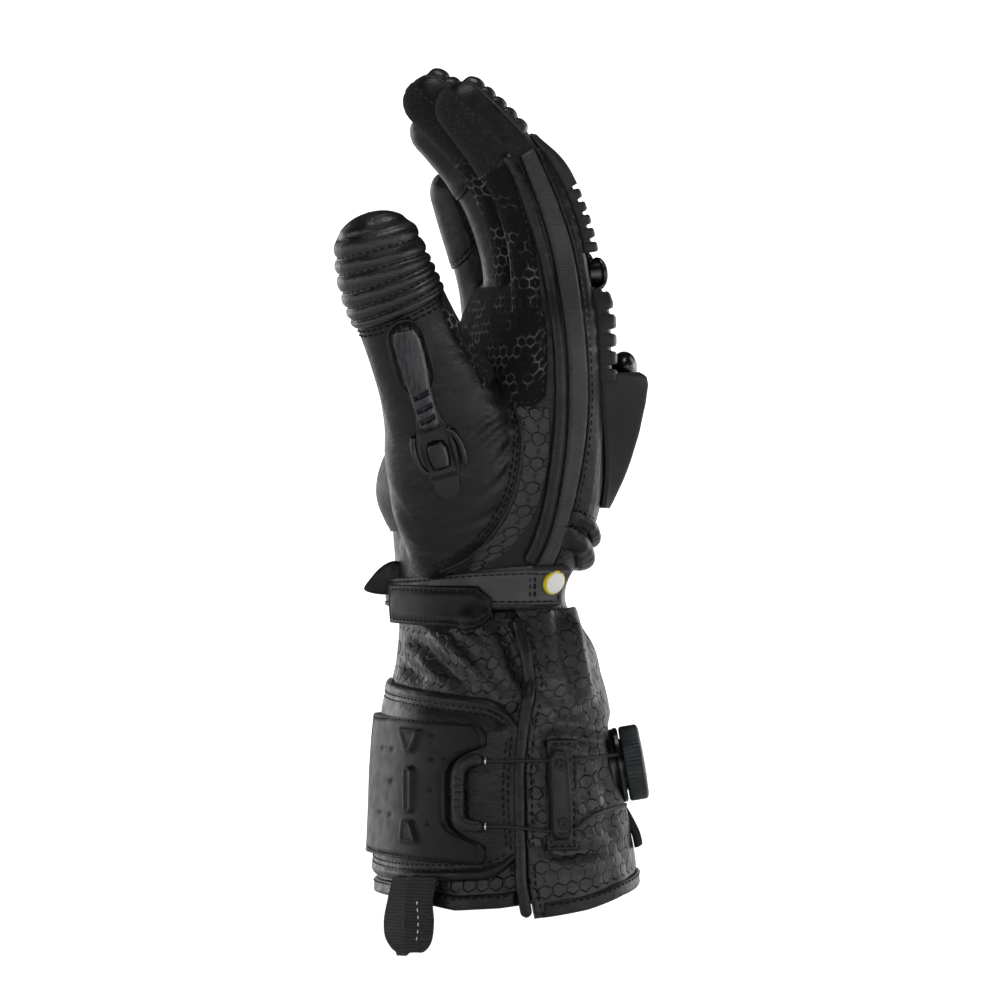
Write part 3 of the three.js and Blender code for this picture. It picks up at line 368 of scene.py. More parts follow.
# Materials
class Finish:
    """A material that is being built, with its shader and the bump so far."""

    def __init__(self, name, colour, roughness, **fixed):
        self.material = bpy.data.materials.new(name)
        self.material.use_nodes = True
        self.tree = self.material.node_tree
        self.shader = self.tree.nodes["Principled BSDF"]
        self.shader.inputs["Base Color"].default_value = (*colour, 1)
        self.shader.inputs["Roughness"].default_value = roughness
        for key, value in fixed.items():
            self.shader.inputs[key.replace("_", " ")].default_value = value
        self.places = self.tree.nodes.new("ShaderNodeTexCoord")
        self.surface = self.tree.nodes.new("ShaderNodeUVMap")
        self.surface.uv_map = "surface"
        self.last_bump = None

    def node(self, kind, inputs=(), **settings):
        """A new node. Each input is a value, or the socket that feeds it."""
        new = self.tree.nodes.new("ShaderNode" + kind)
        for key, value in settings.items():
            setattr(new, key, value)
        for key, value in dict(inputs).items():
            if isinstance(value, bpy.types.NodeSocket):
                self.tree.links.new(value, new.inputs[key])
            else:
                new.inputs[key].default_value = value
        return new

    def math(self, operation, *values):
        return self.node("Math", enumerate(values), operation=operation).outputs[0]

    def vector(self, operation, *values):
        return self.node("VectorMath", enumerate(values), operation=operation).outputs[0]

    def noise(self, scale, detail=3.0, stretch=None):
        """Soft noise, stretched if asked."""
        place = self.places.outputs["Object"]
        if stretch:
            place = self.vector("MULTIPLY", place, stretch)
        return self.node("TexNoise", {"Vector": place, "Scale": scale, "Detail": detail}).outputs[0]

    def cells(self, scale):
        """Round cells, as of fine pebbles."""
        return self.node("TexVoronoi", {"Vector": self.places.outputs["Object"],
                                        "Scale": scale}).outputs["Distance"]

    def ramp(self, value, low, high, to_low=0.0, to_high=1.0):
        """A soft step from one value to another, between low and high."""
        return self.node("MapRange", {"Value": value, "From Min": low, "From Max": high,
                                      "To Min": to_low, "To Max": to_high},
                         interpolation_type="SMOOTHSTEP").outputs[0]

    def blend(self, factor, first, second):
        """A colour between two others."""
        new = self.node("Mix", data_type="RGBA")
        for socket, value in zip([new.inputs[0], new.inputs[6], new.inputs[7]], (factor, first, second)):
            if isinstance(value, bpy.types.NodeSocket):
                self.tree.links.new(value, socket)
            else:
                socket.default_value = (*value, 1) if isinstance(value, tuple) else value
        return new.outputs[2]

    def bump(self, height, distance, strength=1.0):
        """Lays another relief over those so far."""
        new = self.node("Bump", {"Height": height, "Distance": distance, "Strength": strength})
        if self.last_bump:
            self.tree.links.new(self.last_bump, new.inputs["Normal"])
        self.last_bump = new.outputs[0]
        self.tree.links.new(self.last_bump, self.shader.inputs["Normal"])

    def set(self, socket, value):
        """Feeds one of the shader's sockets."""
        self.tree.links.new(value, self.shader.inputs[socket])

    def hexagons(self, width):
        """0 in the middle of each hexagon of this width in millimetres, 0.5 at its edge."""
        step = (1.0, math.sqrt(3), 1.0)
        half = tuple(v / 2 for v in step)
        place = self.vector("MULTIPLY", self.surface.outputs[0], (100 / width, 100 / width, 0.0))
        near = []
        for shift in ((0, 0, 0), half):
            moved = self.vector("ADD", place, shift)
            near.append(self.vector("WRAP", moved, half, tuple(-v for v in half)))
        sizes = [self.node("VectorMath", {0: v}, operation="LENGTH").outputs["Value"] for v in near]
        first = self.math("LESS_THAN", sizes[0], sizes[1])
        chosen = self.node("Mix", {0: first, 4: near[1], 5: near[0]}, data_type="VECTOR").outputs[1]
        apart = self.node("SeparateXYZ", {0: self.vector("ABSOLUTE", chosen)})
        slanted = self.math("ADD", self.math("MULTIPLY", apart.outputs[0], 0.5),
                            self.math("MULTIPLY", apart.outputs[1], math.sqrt(3) / 2))
        return self.math("MAXIMUM", apart.outputs[0], slanted)


def leather_finish(name, tone, roughness=0.38, grain=0.00012, shine=0.5):
    """Full-grain leather: fine pebbles, soft creases and worn, uneven gloss."""
    finish = Finish(name, tone, roughness, Specular_IOR_Level=shine)
    cloudy = finish.noise(28, 4)
    worn = finish.noise(160, 5)
    lighter = tuple(v * 1.7 for v in tone)
    finish.set("Base Color", finish.blend(finish.ramp(cloudy, 0.35, 0.7), tone, lighter))
    finish.set("Roughness", finish.ramp(worn, 0.3, 0.75, roughness - 0.07, roughness + 0.12))
    finish.bump(finish.noise(75, 3, (1.0, 1.0, 2.6)), 0.0011, 0.35)
    finish.bump(finish.noise(190, 5, (1.0, 1.0, 1.7)), 0.0008, 0.45)
    finish.bump(finish.noise(420, 4), 0.00026, 0.5)
    finish.bump(finish.cells(1250), grain, 0.55)
    return finish


leather = leather_finish("black_leather", (0.0058, 0.0055, 0.0059), shine=0.3).material
quilted = leather_finish("quilted_leather", (0.005, 0.0048, 0.0051), 0.37, shine=0.55).material
strap_leather = leather_finish("strap_leather", (0.03, 0.0288, 0.0303), 0.5).material

ribbed = leather_finish("ribbed_leather", (0.0125, 0.012, 0.0129), 0.46, 0.00006)
ribs = ribbed.node("TexWave", {"Vector": ribbed.surface.outputs[0], "Scale": 40.0, "Distortion": 0.6},
                   bands_direction="Y").outputs["Fac"]
ribbed.bump(ribs, 0.00016, 0.5)
ribbed_leather = ribbed.material

embossed = leather_finish("hexagon_leather", (0.0175, 0.0168, 0.0179), 0.42, 0.00008, 0.4)
cell = embossed.hexagons(5.2)
embossed.bump(embossed.ramp(cell, 0.36, 0.5, 1, 0), 0.0011, 0.9)
embossed_leather = embossed.material


def suede_finish(name, tone):
    """Suede: a short nap that is rough all over, with pale dust in it."""
    finish = Finish(name, tone, 0.95, Specular_IOR_Level=0.06, Sheen_Weight=0.02, Sheen_Roughness=0.6)
    nap = finish.noise(900, 6)
    finish.set("Base Color", finish.blend(finish.ramp(nap, 0.45, 0.78), tone, tuple(v * 1.9 for v in tone)))
    finish.bump(nap, 0.0005, 0.8)
    finish.bump(finish.noise(140, 3), 0.0008, 0.4)
    return finish


suede = suede_finish("black_suede", (0.0175, 0.0168, 0.0176)).material
printed = suede_finish("printed_suede", (0.0045, 0.0043, 0.0046))
print_line = printed.ramp(printed.hexagons(3.9), 0.43, 0.462)
# The grey print lines show only where a noise mask lets them through: a painted glint on the print.
print_glint = printed.ramp(printed.noise(120, 3), 0.44, 0.68)
printed.set("Base Color", printed.blend(printed.math("MULTIPLY", print_line, print_glint),
                                        (0.0105, 0.0101, 0.0106), (0.12, 0.117, 0.12)))
printed_suede = printed.material


def moulded_finish(name, tone, roughness, depth=0.00007, shine=0.45):
    """Moulded plastic or rubber: an even, finely sparked skin."""
    finish = Finish(name, tone, roughness, Specular_IOR_Level=shine)
    cloudy = finish.noise(45, 4)
    lighter = tuple(v * 1.35 for v in tone)
    finish.set("Base Color", finish.blend(finish.ramp(cloudy, 0.3, 0.75), tone, lighter))
    finish.set("Roughness", finish.ramp(finish.noise(210, 4), 0.3, 0.8, roughness - 0.05, roughness + 0.08))
    finish.bump(finish.noise(2600, 2), depth, 0.6)
    return finish


hard_plastic = moulded_finish("charcoal_plastic", (0.0095, 0.0092, 0.0099), 0.46, shine=0.36).material
rubber = moulded_finish("moulded_rubber", (0.0058, 0.0056, 0.006), 0.46, shine=0.2).material
gloss_plastic = moulded_finish("gloss_plastic", (0.0045, 0.0045, 0.005), 0.24, depth=0.00001).material
brushed = Finish("brushed_insert_painted_sheen", (0.011, 0.0105, 0.0135), 0.24)
# Brush streaks plus a painted sheen: the lighter, violet streaks in the colour stand in for the insert's
# satin sheen.
streaks_and_sheen = brushed.noise(900, 3, (1.0, 1.0, 0.06))
brushed.set("Base Color", brushed.blend(brushed.ramp(streaks_and_sheen, 0.3, 0.75),
                                        (0.007, 0.0067, 0.0085), (0.03, 0.0286, 0.038)))
brushed.set("Roughness", brushed.ramp(streaks_and_sheen, 0.35, 0.7, 0.16, 0.38))
brushed.bump(streaks_and_sheen, 0.00002, 0.4)
brushed_painted_sheen_plastic = brushed.material
knob_rubber = moulded_finish("teal_black_rubber", (0.0065, 0.0125, 0.0145), 0.36).material
polished = Finish("polished_eyelet", (0.5, 0.5, 0.52), 0.22, Metallic=1.0)
polished.bump(polished.noise(900, 2), 0.00003, 0.5)
eyelet_metal = polished.material

thread = Finish("bonded_thread", (0.0018, 0.0017, 0.0019), 0.5, Specular_IOR_Level=0.2)
thread.bump(thread.noise(3000, 2), 0.0001, 0.7)
thread_black = thread.material

lace = Finish("braided_lace", (0.004, 0.004, 0.0042), 0.45)
plait = lace.node("TexWave", {"Vector": lace.surface.outputs[0], "Scale": 60.0},
                  bands_direction="DIAGONAL").outputs["Fac"]
lace.bump(plait, 0.00015, 0.8)
lace_braid = lace.material

woven = Finish("ribbed_webbing", (0.009, 0.0088, 0.0092), 0.75, Sheen_Weight=0.05)
rib_wave = woven.node("TexWave", {"Vector": woven.surface.outputs[0], "Scale": 26.0},
                      bands_direction="Y").outputs["Fac"]
woven.set("Base Color", woven.blend(rib_wave, (0.004, 0.004, 0.0042), (0.016, 0.0155, 0.0165)))
woven.bump(rib_wave, 0.0006, 0.9)
woven.bump(woven.noise(1600, 3), 0.0002, 0.6)
webbing = woven.material

# White: the own colour of the loop's thread; on the snap cap the white is a painted highlight.
white = Finish("snap_white", (0.86, 0.86, 0.82), 0.3)
white.bump(white.noise(300, 2), 0.00006, 0.3)
snap_white = white.material
yellow = Finish("snap_yellow", (0.72, 0.55, 0.0), 0.35)
yellow.bump(yellow.noise(300, 2), 0.00006, 0.3)
snap_yellow = yellow.material

# The hand's skin: palm, fingers and thumb grown into one leather
SKIN_VOXEL = 1.36
SKIN_FOOT_Z = 97


def tube(limb, start, around):
    """A closed tube over a limb, from a level to its tip."""
    places = np.linspace(start, limb.end, 60)
    if limb.heel and start <= limb.start:
        places = np.concatenate([limb.start - limb.heel * np.array([0.98, 0.85, 0.5]), places])
    places = np.concatenate([places, limb.end + limb.cap * np.array([0.2, 0.4, 0.6, 0.8, 0.93, 0.99])])
    angles = np.linspace(0, 360, around, endpoint=False)
    rings = limb.point(places[:, None], angles[None, :])
    return show("tube", rings.reshape(-1, 3), ring_faces(len(places), around), leather)


parts = [tube(sleeve, SKIN_FOOT_Z, 120)]
for limb in limbs.values():
    parts.append(tube(limb, 0, 72))
hand = join("hand_leather", parts)
apply_modifier(hand, "REMESH", mode="VOXEL", voxel_size=SKIN_VOXEL * MM, use_smooth_shade=True)
apply_modifier(hand, "SMOOTH", factor=0.5, iterations=7)
HAND_CREASES = [
    [(520, 412), (500, 432), (478, 452), (462, 474)], [(524, 432), (505, 452), (488, 478)],
    [(518, 458), (500, 480), (478, 500)], [(505, 414), (482, 426), (462, 446)],
    [(506, 505), (480, 520), (450, 530)], [(372, 470), (396, 500), (418, 532)],
    [(388, 530), (415, 548), (450, 550)], [(508, 535), (485, 545), (455, 558)],
    [(365, 360), (374, 400), (388, 440)], [(445, 300), (452, 322), (462, 345)],
]
hand_points = np.empty(len(hand.data.vertices) * 3)
hand.data.vertices.foreach_get("co", hand_points)
hand_points = hand_points.reshape(-1, 3)
hand_normals = np.array([vertex.normal for vertex in hand.data.vertices])
facing_view = smooth(-hand_normals[:, 1], 0.0, 0.5)
HAND_CREASE_DEPTH = 0.55
crease_depth = HAND_CREASE_DEPTH * creases(hand_points[:, 0] / MM, hand_points[:, 2] / MM, HAND_CREASES, 1.3)
hand_points -= hand_normals * (crease_depth * facing_view * MM)[:, None]
hand.data.vertices.foreach_set("co", hand_points.ravel())
skin_mesh = bmesh.new()
skin_mesh.from_mesh(hand.data)
bmesh.ops.bisect_plane(skin_mesh, geom=skin_mesh.verts[:] + skin_mesh.edges[:] + skin_mesh.faces[:],
                       plane_co=(0, 0, WRIST_SEAM_Z * MM), plane_no=(0, 0, 1), clear_inner=True)
skin_mesh.to_mesh(hand.data)
skin_tree = BVHTree.FromBMesh(skin_mesh)
skin_mesh.free()
apply_modifier(hand, "SOLIDIFY", thickness=LEATHER * MM, offset=-1.0)
dress(hand, ["hand_body"] + [name + "_finger" for name in FINGERS] + ["thumb"])


def seen(x, z):
    """The leather's points that are seen from the thumb's side at these x and z."""
    x, z = np.broadcast_arrays(np.asarray(x, float), np.asarray(z, float))
    found = np.zeros((*x.shape, 3))
    for place in np.ndindex(x.shape):
        spot = Vector((x[place], -200, z[place])) * MM
        hit = skin_tree.ray_cast(spot, Vector((0, 1, 0)))[0]
        if hit is None:
            hit = skin_tree.find_nearest(Vector((x[place], -30, z[place])) * MM)[0]
        found[place] = np.array(hit) / MM
    return found


def along_line(points, count):
    """Evenly spaced points on one smooth curve through these."""
    points = np.array(points, float)
    fine = column(points, np.linspace(0, len(points) - 1, 40 * len(points)))
    reach = np.concatenate([[0], np.cumsum(np.linalg.norm(np.diff(fine, axis=0), axis=1))])
    shares = np.linspace(0, 1, count) if np.isscalar(count) else np.asarray(count)
    found = [np.interp(shares * reach[-1], reach, fine[:, k]) for k in range(points.shape[1])]
    return np.stack(found, axis=1)


def line_length(points):
    """The length of the smooth curve through these points."""
    fine = along_line(points, 60)
    return np.linalg.norm(np.diff(fine, axis=0), axis=1).sum()


def soften(surface, times):
    """Evens out a grid of points, with its border kept."""
    surface = surface.copy()
    for _ in range(times):
        inner = (surface[:-2, 1:-1] + surface[2:, 1:-1] + surface[1:-1, :-2] + surface[1:-1, 2:]) / 4
        surface[1:-1, 1:-1] = mix(surface[1:-1, 1:-1], inner, 0.6)
    return surface


def running_mean(values, taps):
    """A row of values, each the mean of those around it."""
    return np.convolve(np.pad(values, taps // 2, mode="edge"), np.ones(taps) / taps, mode="valid")


def even(values, taps=9):
    """Each column of values, smoothed along its length."""
    padded = np.pad(values, ((taps // 2, taps // 2), (0, 0)), mode="edge")
    return sum(padded[k:k + len(values)] for k in range(taps)) / taps


def seen_grid(left, right, step):
    """A grid over the leather between two lines of the picture, each from its lower end up."""
    left = [at_photo(*p) for p in left]
    right = [at_photo(*p) for p in right]
    tall = (line_length(left) + line_length(right)) / 2
    wide = max(np.linalg.norm(np.subtract(a, b)) for a, b in zip(along_line(left, 9), along_line(right, 9)))
    rows, columns = lines(tall, step), lines(max(wide, 3), step)
    one, two = along_line(left, rows), along_line(right, rows)
    flat = one[:, None] + (two - one)[:, None] * columns[None, :, None]
    surface = seen(flat[..., 0], flat[..., 1])
    surface[..., 1] = even(soften(surface, 4)[..., 1])
    return surface


# The cuff: a back part whose front edge laps over the palm part
EDGE_LINE = [(-8, 11), (5, 8.4), (23, 7.7), (45, 7.3), (59, 8.2), (70, 10.2), (78, 11.2), (88, 9.3),
             (99, 5.8), (104, 3.5)]
BACK_HEM = [(-85, -8), (-62, -4.6), (-40, 0), (-12, 4), (45, 2), (112, 0)]
PALM_HEM = [(106, 0), (150, 1), (180, 0), (205, -1), (235, -4.7), (258, -3.8), (280, -1.4)]
BACK_SEAM_DEG = 112
PALM_SEAM_DEG = 106
CUFF_TOP_Z = WRIST_SEAM_Z - 0.35
PALM_LOWER = -LEATHER - 1.05
levels = np.linspace(-12, 105, 80)
edge_degrees = np.array([sleeve.facing(z, np.interp(z, *zip(*EDGE_LINE)), LEATHER) for z in levels])


def back_edge(z):
    """The angle of the back part's front edge at a level."""
    return np.interp(z, levels, edge_degrees)


def back_at(rows, columns):
    """Levels and angles over the back part of the cuff."""
    share = mix(-82, BACK_SEAM_DEG, columns)[None, :]
    z = mix(np.interp(share, *zip(*BACK_HEM)), CUFF_TOP_Z, rows[:, None])
    return z, mix(back_edge(z), BACK_SEAM_DEG, columns[None, :])


def palm_at(rows, columns):
    """Levels and angles over the palm part of the cuff."""
    degrees = mix(PALM_SEAM_DEG, 278, columns)[None, :]
    z = mix(np.interp(degrees, *zip(*PALM_HEM)), CUFF_TOP_Z, rows[:, None])
    return z, mix(PALM_SEAM_DEG, back_edge(z) + 366, columns[None, :])


CUFF_CREASES = [
    [(434, 620), (460, 640), (490, 672), (508, 694)], [(462, 620), (488, 646), (512, 686)],
    [(414, 636), (438, 660), (462, 682)], [(498, 620), (510, 645), (519, 676)],
    [(386, 640), (402, 662), (424, 678)],
]
BACK_CREASES = [
    [(556, 604), (560, 640), (572, 690)], [(575, 606), (588, 648), (598, 700)],
    [(538, 742), (556, 734), (600, 742)], [(578, 768), (586, 800), (596, 832)],
    [(594, 762), (600, 796), (606, 834)], [(536, 838), (560, 850), (600, 846)],
]


DIAL_CENTRE = Vector((47, -5, 47.8))
DIAL_DENT = 2.4  # how far the cuff is drawn in round the dial
CUFF_CREASE_DEPTH = 1.9


def cuff_part(name, where, lift, crease_lines):
    """One part of the cuff, with its folds, ripples and pressed creases."""
    rows, columns = lines(106, 1.0), lines(170, 1.4)
    z, degrees = where(rows, columns)
    surface = sleeve.point(z, degrees)
    if lift == 0.0:
        near_dial = 22 - np.hypot(surface[..., 1] - DIAL_CENTRE.y, surface[..., 2] - DIAL_CENTRE.z)
        dent = DIAL_DENT * smooth(near_dial, 0, 9) * (surface[..., 0] > 20)
        surface -= grid_normals(surface) * dent[..., None]
    apart = edge_distance(surface)
    ripple = 0.35 * np.sin(degrees * 0.31 + z * 0.12) * np.sin(z * 0.21 + degrees * 0.05)
    top = lift + LEATHER - 0.7 + rolled(apart, 0.7) + ripple
    in_view = smooth(-surface[..., 1], 0, 10)
    top -= CUFF_CREASE_DEPTH * in_view * creases(surface[..., 0], surface[..., 2], crease_lines, 2.3)
    piece = pad(name, surface, top, embossed_leather, base=lift)
    return dress(piece, [name.replace("_skin", "")])


cuff_part("cuff_back_skin", back_at, 0.0, BACK_CREASES)
cuff_part("cuff_palm_skin", palm_at, PALM_LOWER, CUFF_CREASES)


class Patch:
    """A thin solid laid on a grid of points, rolled down at its edges, that can be sewn."""

    def __init__(self, surface, height, roll=1.0, borders="lrtb", sewn=None, dent=0.45):
        self.surface = surface
        self.normals = grid_normals(surface)
        self.apart = edge_distance(surface, borders)
        self.top = rolled(self.apart, height, roll)
        if sewn:
            self.top = self.top - seam(self.apart, sewn, dent)

    def piece(self, name, finish, base=-0.8):
        return pad(name, self.surface, self.top, finish, base, normals=self.normals)

    def line(self, side, inset, trim=None):
        """The points and directions of a line at some distance inside one edge."""
        trim = inset if trim is None else trim
        across, along = spans(self.surface)
        lifted = self.surface + self.normals * self.top[..., None]
        both = np.concatenate([lifted, self.normals], axis=2)
        if side in "lr":
            reach = across if side == "l" else across[:, -1:] - across
            rows = [both[i][np.argsort(reach[i])] for i in range(len(both))]
            keys = [np.sort(reach[i]) for i in range(len(both))]
            length = along[:, 0 if side == "l" else -1]
        else:
            reach = (along if side == "b" else along[-1:] - along).T
            turned = both.transpose(1, 0, 2)
            rows = [turned[i][np.argsort(reach[i])] for i in range(len(turned))]
            keys = [np.sort(reach[i]) for i in range(len(turned))]
            length = across[0 if side == "b" else -1]
        kept = [i for i in range(len(rows)) if trim <= length[i] <= length[-1] - trim]
        found = np.array([[np.interp(inset, keys[i], rows[i][:, k]) for k in range(6)] for i in kept])
        return found[:, :3], found[:, 3:]


# Columns: share of the half length, share of the radius.
STITCH_RINGS = [(-1, 0.3), (-0.72, 0.85), (0, 1), (0.72, 0.85), (1, 0.3)]


def capsule_row(points, normals, length, space, radius):
    """Stitches along a line, as corner points and faces: each a small capsule of 26 faces."""
    reach = np.concatenate([[0], np.cumsum(np.linalg.norm(np.diff(points, axis=0), axis=1))])
    count = int(reach[-1] // (length + space))
    corners, faces = [], []
    for k in range(count):
        middle = (k + 0.5) * (length + space)
        place, ahead, out = (np.array([np.interp(middle + d, reach, src[:, i]) for i in range(3)])
                             for src, d in ((points, 0), (points, 0.4), (normals, 0)))
        along = ahead - place
        along /= max(np.linalg.norm(along), 1e-9)
        out -= along * (out @ along)
        out /= max(np.linalg.norm(out), 1e-9)
        side = np.cross(along, out)
        first = len(corners)
        for share, wide in STITCH_RINGS:
            for j in range(6):
                a = j * math.pi / 3
                dip = -0.5 * radius * abs(share) ** 3
                corners.append(place + along * (share * length / 2) + out * dip
                               + (side * math.cos(a) + out * math.sin(a)) * (wide * radius))
        faces += flipped(ring_faces(len(STITCH_RINGS), 6, first))
    return corners, faces


def stitches(name, paths, length=2.0, space=0.8, radius=0.4, finish=None):
    """One piece that holds the stitches along all these lines."""
    corners, faces = [], []
    for points, normals in paths:
        if len(points) < 2:
            continue
        more, shapes = capsule_row(points, normals, length, space, radius)
        faces += [tuple(i + len(corners) for i in shape) for shape in shapes]
        corners += more
    return show(name, corners, faces, finish or thread_black)


def cord_along(name, points, radius, finish, sides=12, step=0.8, ridges=None):
    """A round cord along a line of points, with closed round ends."""
    points = np.array(points, float)
    line = along_line(points, max(4, int(line_length(points) / step)))
    tangents = np.gradient(line, axis=0)
    tangents /= np.linalg.norm(tangents, axis=1, keepdims=True)
    side = np.cross(tangents[0], (0.3, 0.2, 0.9))
    rings, uv = [], []
    reach = np.concatenate([[0], np.cumsum(np.linalg.norm(np.diff(line, axis=0), axis=1))])
    sizes = np.full(len(line), float(radius))
    ends = np.minimum(reach, reach[-1] - reach)
    sizes *= np.sqrt(np.clip(1 - (1 - np.clip(ends / radius, 0.04, 1)) ** 2, 0, 1))
    if ridges is not None:
        sizes *= ridges(reach)
    for place, along, size, far in zip(line, tangents, sizes, reach):
        side = side - along * (side @ along)
        side /= np.linalg.norm(side)
        out = np.cross(along, side)
        for j in range(sides):
            a = 2 * math.pi * j / sides
            rings.append(place + size * (side * math.cos(a) + out * math.sin(a)))
            uv.append((radius * a, far))
    return show(name, rings, ring_faces(len(line), sides), finish, uv)


def angle_on(limb, s, line, low, high):
    """For each s, the angle between low and high where the surface meets a line of the picture."""
    line = np.array([at_photo(*p) for p in line])
    line = line[np.argsort(line[:, 1])]
    angles = np.linspace(low, high, 241)
    found = []
    for place in np.atleast_1d(s):
        surface = limb.point(place, angles)
        apart = surface[:, 0] - np.interp(surface[:, 2], line[:, 1], line[:, 0])
        found.append(angles[int(np.argmin(np.abs(apart)))])
    found = np.array(found)
    for _ in range(3):
        found[1:-1] = (found[:-2] + 2 * found[1:-1] + found[2:]) / 4
    return found


def limb_grid(limb, low, high, left, right, step):
    """A grid over a limb between two places and two angles, each a number or one for each row."""
    rows = lines(abs(high - low), step)
    s = mix(low, high, rows)
    left, right = (np.broadcast_to(v(s) if callable(v) else v, s.shape) for v in (left, right))
    middle = limb.point(np.mean(s), np.linspace(left.mean(), right.mean(), 40))
    wide = np.linalg.norm(np.diff(middle, axis=0), axis=1).sum()
    columns = lines(wide, step)
    degrees = left[:, None] + (right - left)[:, None] * columns[None, :]
    return limb.point(s[:, None], degrees), rows, columns


def polygon_distance(x, z, corners):
    """Signed distance to a polygon's edge, above zero inside it."""
    corners = np.array(corners, float)
    inside = np.zeros(x.shape, bool)
    near = np.full(x.shape, 1e3)
    for a, b in zip(corners, np.roll(corners, -1, axis=0)):
        t = np.clip(((x - a[0]) * (b[0] - a[0]) + (z - a[1]) * (b[1] - a[1])) / ((b - a) @ (b - a)), 0, 1)
        near = np.minimum(near, np.hypot(x - a[0] - t * (b[0] - a[0]), z - a[1] - t * (b[1] - a[1])))
        crosses = (a[1] > z) != (b[1] > z)
        with np.errstate(divide="ignore", invalid="ignore"):
            inside ^= crosses & (x < (b[0] - a[0]) * (z - a[1]) / (b[1] - a[1]) + a[0])
    return np.where(inside, near, -near)


sewn_lines = []
suede_lines = []

# Bindings and pipings of the cuff
BINDING = 5.5


def hem(name, where, low, high, lift):
    """The binding sewn round the lower edge of one part of the cuff."""
    columns = np.linspace(low, high, 120)
    z, degrees = where(np.array([0.0]), columns)
    rows = np.concatenate([[0, 0.25, 0.7, 1.4], np.linspace(2.2, BINDING - 1.2, 4), [BINDING - 0.5, BINDING]])
    surface = sleeve.point(z[0][None, :] + rows[:, None], degrees[0][None, :])
    patch = Patch(surface, 1.2, 0.9, sewn=BINDING - 1.4, dent=0.3)
    patch.top += lift
    sewn_lines.append(patch.line("t", 1.4))
    return dress(patch.piece(name + "_leather", leather, lift - 0.5), [name])


hem("hem_binding_back", back_at, 0.012, 0.985, LEATHER - 0.1)
hem("hem_binding_palm", palm_at, 0.02, 0.93, PALM_LOWER + LEATHER - 0.1)
EDGE_RADIUS = 2.2
edge_z = np.linspace(-7, 101, 60)
edge_line = sleeve.point(edge_z, back_edge(edge_z) - 2.9, EDGE_RADIUS + 0.2)
dress(cord_along("front_edge_piping", edge_line, EDGE_RADIUS, leather, 14), ["edge_piping"])
edge_degree = back_edge(edge_z) + 2.6
edge_foot = sleeve.point(edge_z, edge_degree, LEATHER)
sewn_lines.append((sleeve.point(edge_z, edge_degree, LEATHER + 0.1),
                   sleeve.point(edge_z, edge_degree, LEATHER + 1.0) - edge_foot))

# The closure flap: a padded panel with a rolled edge and a double row of stitches
FLAP_WRAP_DEG = -216
FLAP_THICK = 3.6
FLAP_PROFILE = [(0, 0.5), (0.5, 1.9), (1.2, 2.9), (2.2, 3.4), (3.3, 3.1), (4.2, 2.3), (5.1, 2.55),
                (6.0, 2.3), (7.2, 2.9), (9.5, 3.4), (13, 3.6)]


def flap_top_z(c):
    """The level of the flap's upper edge, at a share of its width."""
    return mix(78.5, 70.5, c) - 9 * (1 - np.sqrt(1 - smooth(c, 0.8, 1) ** 2))


def flap_bottom_z(c):
    """The level of the flap's lower edge, at a share of its width."""
    return mix(9, 7, c) - 2.5 * np.sin(math.pi * c) + 8 * (1 - np.sqrt(1 - smooth(c, 0.82, 1) ** 2))


def flap_surface(rows, columns):
    """The surface under the flap, from its sewn edge to its front edge."""
    z = mix(flap_bottom_z(columns)[None, :], flap_top_z(columns)[None, :], rows[:, None])
    edge = np.array([sleeve.facing(v, 5.6, FLAP_THICK) for v in z[:, -1]])
    across = np.interp(z, z[:, -1], edge)
    return sleeve.point(z, mix(FLAP_WRAP_DEG, across, columns[None, :]))


def wrapped(degrees):
    """The share of the flap's thickness that is left where it wraps round the palm's side."""
    return mix(0.4, 1, smooth(degrees, -188, -125))


FLAP_EDGE = (0, 0.3, 0.8, 1.5, 2.4, 3.2, 4.0, 4.8, 5.6, 6.4, 7.4)
flap = Patch(flap_surface(lines(66, 1.6, FLAP_EDGE), lines(90, 1.6, FLAP_EDGE)), 1.0, borders="rtb")
flap_degrees = np.degrees(np.arctan2(flap.surface[..., 1], flap.surface[..., 0]))
flap_degrees = np.where(flap_degrees > 0, -180, flap_degrees)
flap.top = np.interp(flap.apart, *zip(*FLAP_PROFILE)) * wrapped(flap_degrees)
for side in "trb":
    for inset in (4.2, 6.0):
        sewn_lines.append(flap.line(side, inset))
dress(flap.piece("closure_flap_leather", leather, -0.6), ["closure_flap"])

# The moulded plate on the flap
PLATE_EDGE = [(12, -10.5), (12.4, -8.6), (13.4, -7.2), (15, -6.8), (17.6, -6.8), (19.0, -7.6), (20.4, -10.6),
              (22.2, -15), (25.2, -18.6), (28.6, -20), (44.6, -20.2), (48.6, -18.4), (51.6, -14.8),
              (53.4, -10.4), (54.4, -7.2), (55.4, -6.6), (58.6, -6.6), (60.4, -7.4), (61.8, -9), (62.6, -12)]
PLATE_MARKS = [
    [(400, 726), (422, 728), (414, 750), (406, 749)],
    [(405, 765), (412, 764), (415, 768), (415, 806), (412, 810), (405, 809)],
    [(403, 817), (413, 818), (420, 840), (401, 839)],
]
PLATE_DIMPLES = [(432, 755), (446, 755), (431, 786), (447, 787), (428, 819), (444, 819), (382, 748),
                 (392, 748), (391, 780), (380, 812), (390, 813), (432, 731)]
plate_rows = np.linspace(0, 1, 104)
plate_z = mix(12, 62.6, plate_rows)
plate_x = np.interp(plate_z, *zip(*PLATE_EDGE))
plate_right = np.array([sleeve.facing(z, x, FLAP_THICK) for z, x in zip(plate_z, plate_x)])
plate_columns = lines(46, 0.6, (0, 0.25, 0.6, 1.0, 1.5, 2.0, 2.6, 3.2))
left_z = mix(15, 66, plate_rows)
z = mix(left_z[:, None], plate_z[:, None], plate_columns[None, :])
degrees = mix(FLAP_WRAP_DEG + 8, plate_right[:, None], plate_columns[None, :])
